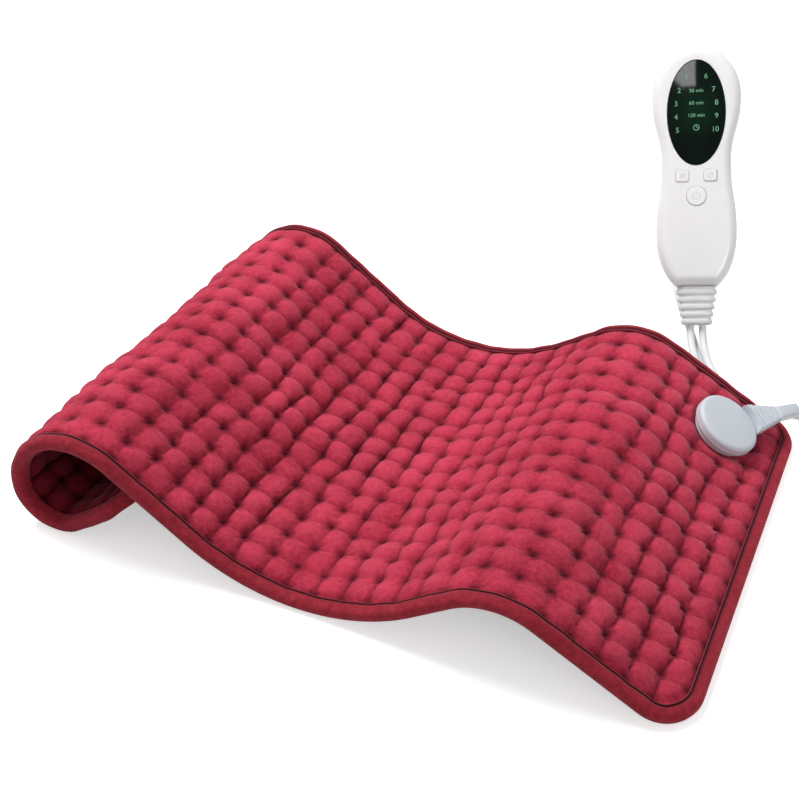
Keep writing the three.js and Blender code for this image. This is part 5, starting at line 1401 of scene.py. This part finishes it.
hank, hank_middle = hank_route()
plug_relief_start = hank_middle + hank_reach + plug_stand_off
plug_end = on_floor(hank_turn, plug_relief_start - end_gap, plug_side, plug_axis)
plug_before = on_floor(hank_turn, plug_relief_start - lead_diameter, plug_side, plug_axis)
mains_lead_route, mains_lead_length = smooth_route([
    *out_of_relief(-lead_spacing / 2), *on_floor(controller_turn, *mains_lead_loop.T),
    past(hank[::-1], lead_diameter), *hank, past(hank, lead_diameter),
    (past(hank, lead_diameter) + plug_before) / 2, plug_before, plug_end,
])
mains_lead = lead("mains_lead", mains_lead_route, "mains_lead_loop", "mains_lead_hank", "mains_lead_end")
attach(mains_lead, "pad_and_controller")


# Ties. Closed straps of woven tape that hold the turns of the coil and of the hank together,
# one round each.
tie_width = 0.012
tie_thickness = 0.0012
tie_corner = 0.002
tie_rounding = 0.0003


def woven():
    finish, paint, place = new_finish("woven_tape", {"Sheen Weight": 0.3})
    weave = {"Vector": place, "Scale": 420, "Distortion": 1.5}
    threads = paint.node("TexWave", {"bands_direction": "DIAGONAL"}, weave)
    fuzz = paint.noise(place, 1500, 3)
    return feed(finish, {
        "Base Color": paint.blend(fuzz, (0.62, 0.62, 0.63, 1), (0.8, 0.8, 0.81, 1)),
        "Roughness": 0.75 + 0.2 * fuzz,
        "Normal": paint.bump(threads * 0.7 + fuzz * 0.3, 0.4, 0.0003),
    })


woven_tape = woven()


def strap(name, node, inner_width, inner_height, place):
    bpy.ops.object.select_all(action="DESELECT")
    bpy.ops.mesh.primitive_plane_add(size=1)
    tie = named(bpy.context.object, name)
    tie.scale = (inner_width + tie_thickness, inner_height + tie_thickness, 1)
    bpy.ops.object.transform_apply(location=True, rotation=True, scale=True)
    bpy.ops.object.mode_set(mode="EDIT")
    bpy.ops.mesh.select_all(action="SELECT")
    bpy.ops.mesh.bevel(offset=tie_corner, segments=5, affect="VERTICES")
    bpy.ops.mesh.select_all(action="SELECT")
    bpy.ops.mesh.delete(type="ONLY_FACE")
    bpy.ops.mesh.select_mode(type="EDGE")
    bpy.ops.mesh.select_all(action="SELECT")
    bpy.ops.mesh.extrude_region_move(TRANSFORM_OT_translate={"value": (0, 0, tie_width)})
    bpy.ops.mesh.select_all(action="SELECT")
    bpy.ops.transform.translate(value=(0, 0, -tie_width / 2))
    face_outwards()
    modified(tie, "SOLIDIFY", thickness=tie_thickness, offset=0)
    modified(tie, "BEVEL", width=tie_rounding, segments=2)
    bpy.ops.object.shade_smooth_by_angle(angle=smooth_angle)
    stands_for(tie, place @ upright_to_along_y, "pad_and_controller", "lead_sheath", woven_tape, node)
    return tie


def layers_wide(count):
    return (count - 1) * turn_pitch + lead_diameter + 4 * end_gap


coil_tie_width = layers_wide(1) + turn_pitch * coil_turns / 2 + 3 * end_gap
coil_tie_height = layers_wide(2)
coil_tie_reach = coil_radius - turn_pitch * coil_turns / 4
coil_tie_place = near_right_corner + np.array([
    coil_middle[0] + coil_tie_reach, coil_middle[1], coil_lift + coil_tie_height / 2 - 2 * end_gap,
])
coil_tie = strap("coil_strap", "coil_tie", coil_tie_width, coil_tie_height, shifted(*coil_tie_place))
hank_tie_height = turn_pitch * (layer_turns - 0.5) + lead_diameter + 8 * end_gap
hank_tie_reach = hank_radius - turn_pitch * (layer_turns + 0.5) / 2
hank_tie = strap(
    "hank_strap", "hank_tie", layers_wide(hank_layers), hank_tie_height,
    shifted(*on_floor(hank_turn, hank_middle, hank_aside, hank_height + hank_tie_reach))
    @ Matrix.Rotation(hank_turn, 4, "Z"),
)


# Plug. A two-blade mains plug moulded on to the end of the mains lead, with a tapered strain
# relief, finger grips on its sides and flat brass blades.
plug_start = plug_relief_start + plug_relief_length + end_gap
on_plug = (
    shifted(*on_floor(hank_turn, plug_start, plug_side, plug_axis)) @ Matrix.Rotation(hank_turn, 4, "Z")
)
grip_starts = (0.0085, 0.0140, 0.0195)
grip_shape = ((0, 0, 0), (0.0007, 0.0009, 0.0002), (0.0023, 0.0009, 0.0002), (0.0030, 0, 0))
plug_foot_shape = ((0.0, 0.0042), (0.001, 0.0026), (0.004, 0.0006), (0.006, 0))
plug_face_shape = ((-0.0010, 0), (-0.0003, 0.0003), (0, 0.0010))
blade_thickness, blade_length, blade_height = 0.0015, 0.0175, 0.0064
blade_spacing = 0.0127
blade_foot = plug_length + end_gap
blade_tip = blade_foot + blade_length
blade_hole_radius = 0.0016
blade_hole_from_tip = 0.0045


def plug_step(at, in_width, in_height):
    return at, plug_width / 2 - in_width, plug_height / 2 - in_height


plug_body = drawn_up("plug_moulding", [
    *[plug_step(at, drawn_in, drawn_in) for at, drawn_in in plug_foot_shape],
    *[plug_step(start + at, *drawn_in) for start in grip_starts for at, *drawn_in in grip_shape],
    *[plug_step(plug_length + at, drawn_in, drawn_in) for at, drawn_in in plug_face_shape],
], corner=0.0035)
along_plug = on_plug @ upright_to_along_y
stands_for(plug_body, along_plug, "pad_and_controller", "lead_sheath", lead_white, "plug_body")
relief_tip = -end_gap - plug_relief_length
plug_relief = drawn_up("plug_relief_boot", [
    (relief_tip, 0.0036, 0.0036),
    *ribbed(relief_tip + 0.0004, -end_gap - 0.0006, (0.0044, 0.0044), (0.0070, 0.0064), 5, 0.0007),
    (-end_gap, 0.0064, 0.0058),
], corner=0.0016)
stands_for(plug_relief, along_plug, "pad_and_controller", "lead_sheath", lead_white, "plug_strain_relief")

blade_shape = (
    (blade_foot, 0, 0), (blade_tip - 0.0015, 0, 0), (blade_tip - 0.0004, 0.0002, 0.0006),
    (blade_tip, 0.0004, 0.0012),
)
first_blade = drawn_up("blade", [
    (at, blade_thickness / 2 - in_width, blade_height / 2 - in_height)
    for at, in_width, in_height in blade_shape
], corner=0.0003)
settle(first_blade, upright_to_along_y)
blade_hole = drawn_up("blade hole", turned((-0.004, blade_hole_radius), (0.004, blade_hole_radius)), sides=24)
hole_at = plug_length + blade_length - blade_hole_from_tip
cut_away(first_blade, settle(blade_hole, shifted(0, hole_at) @ Matrix.Rotation(math.pi / 2, 4, "Y")))
for number, side in ((1, -1), (2, 1)):
    blade = copied(first_blade, f"plug_contact_{number}")
    blade_place = on_plug @ shifted(side * blade_spacing / 2)
    stands_for(blade, blade_place, "pad_and_controller", "brass", brass, f"plug_blade_{number}")
bpy.data.objects.remove(first_blade)


# Floor and light. A white studio floor that takes a soft shadow, even white light from all
# round, a wide lamp above on the left, a weak one before the controller, and a strip that
# shines on the display pane alone and puts a glare on it.
floor_size = 12
shadow_middle = (0.0, -0.1, 0.0)
shadow_half = (0.17, 0.095, 0.0)
shadow_fade = 0.6
shadow_light = 0.38
white, black, floor_grey = (1, 1, 1, 1), (0, 0, 0, 1), (0.35, 0.35, 0.35, 1)
sky_strength = 0.37

bpy.ops.object.select_all(action="DESELECT")
bpy.ops.mesh.primitive_plane_add(size=floor_size, location=(0, 0, 0))
floor = bpy.context.object
floor.name = "studio_floor"
floor_finish, floor_paint, place = new_finish("studio_floor", {
    "Roughness": 1, "Specular IOR Level": 0, "Emission Strength": 1,
})
by_camera = floor_paint.node("LightPath", out="Is Camera Ray")
in_gloss = floor_paint.node("LightPath", out="Is Glossy Ray")
seen = floor_paint.maths("MAXIMUM", by_camera, in_gloss)
past_shadow = place.vector("SUBTRACT", shadow_middle).vector("ABSOLUTE").vector("SUBTRACT", shadow_half)
far_off = past_shadow.vector("MAXIMUM").vector("LENGTH", out="Value").fade(0.0, shadow_fade, 0.0, 1.0) ** 0.5
coat(floor, feed(floor_finish, {
    "Base Color": floor_paint.blend(seen, floor_grey, white),
    "Emission Color": floor_paint.blend(seen * (shadow_light + (1 - shadow_light) * far_off), black, white),
}))

world = bpy.data.worlds.new("studio")
bpy.context.scene.world = world
world.use_nodes = True
sky = Paint(world.node_tree)
by_camera, in_gloss, through_glass = (
    sky.node("LightPath", out=f"Is {ray} Ray") for ray in ("Camera", "Glossy", "Transmission")
)
seen = sky.maths("MAXIMUM", by_camera + in_gloss, through_glass)
background = world.node_tree.nodes["Background"]
background.inputs["Color"].default_value = white
strength = sky_strength + (1 - sky_strength) * seen
world.node_tree.links.new(strength.socket, background.inputs["Strength"])


def lamp(name, width, height, energy, place, target):
    data = bpy.data.lights.new(name, "AREA")
    data.shape = "RECTANGLE"
    data.size = width
    data.size_y = height
    data.energy = energy
    hung = bpy.data.objects.new(name, data)
    hung.location = place
    hung.rotation_euler = (Vector(target) - Vector(place)).to_track_quat("-Z", "Y").to_euler()
    hung.visible_camera = False
    bpy.context.scene.collection.objects.link(hung)
    return hung


lamp("wide_lamp", 0.9, 0.8, 25, (-0.75, 0.2, 1.45), (0, 0, 0))
pane_middle = on_controller @ Vector((0, window_at, front_depth))
to_right, to_top, pane_off = on_controller.to_3x3().transposed()
front_lamp = lamp("front_lamp", 0.4, 0.4, 0.28, pane_middle + Vector((0.75, -0.79, 0.5)), pane_middle)
front_lamp.data.spread = math.radians(40)
from_pane = (camera.location - pane_middle).normalized()
mirrored_to = 2 * from_pane.dot(pane_off) * pane_off - from_pane
strip_off, strip_left, strip_up = 1.2, 0.18, 0.335
strip_place = pane_middle + strip_off * mirrored_to - strip_left * to_right + strip_up * to_top
strip_lamp = lamp("strip_lamp", 0.36, 0.25, 36, strip_place, pane_middle)
off_pane = (strip_lamp.location - pane_middle).normalized()
level = (to_right - to_right.dot(off_pane) * off_pane).normalized()
strip_lamp.rotation_euler = Matrix((level, off_pane.cross(level), off_pane)).transposed().to_euler()
pane_only = bpy.data.collections.new("pane_only")
pane_only.objects.link(window)
strip_lamp.light_linking.receiver_collection = pane_only

bpy.context.scene.view_settings.view_transform = "Standard"
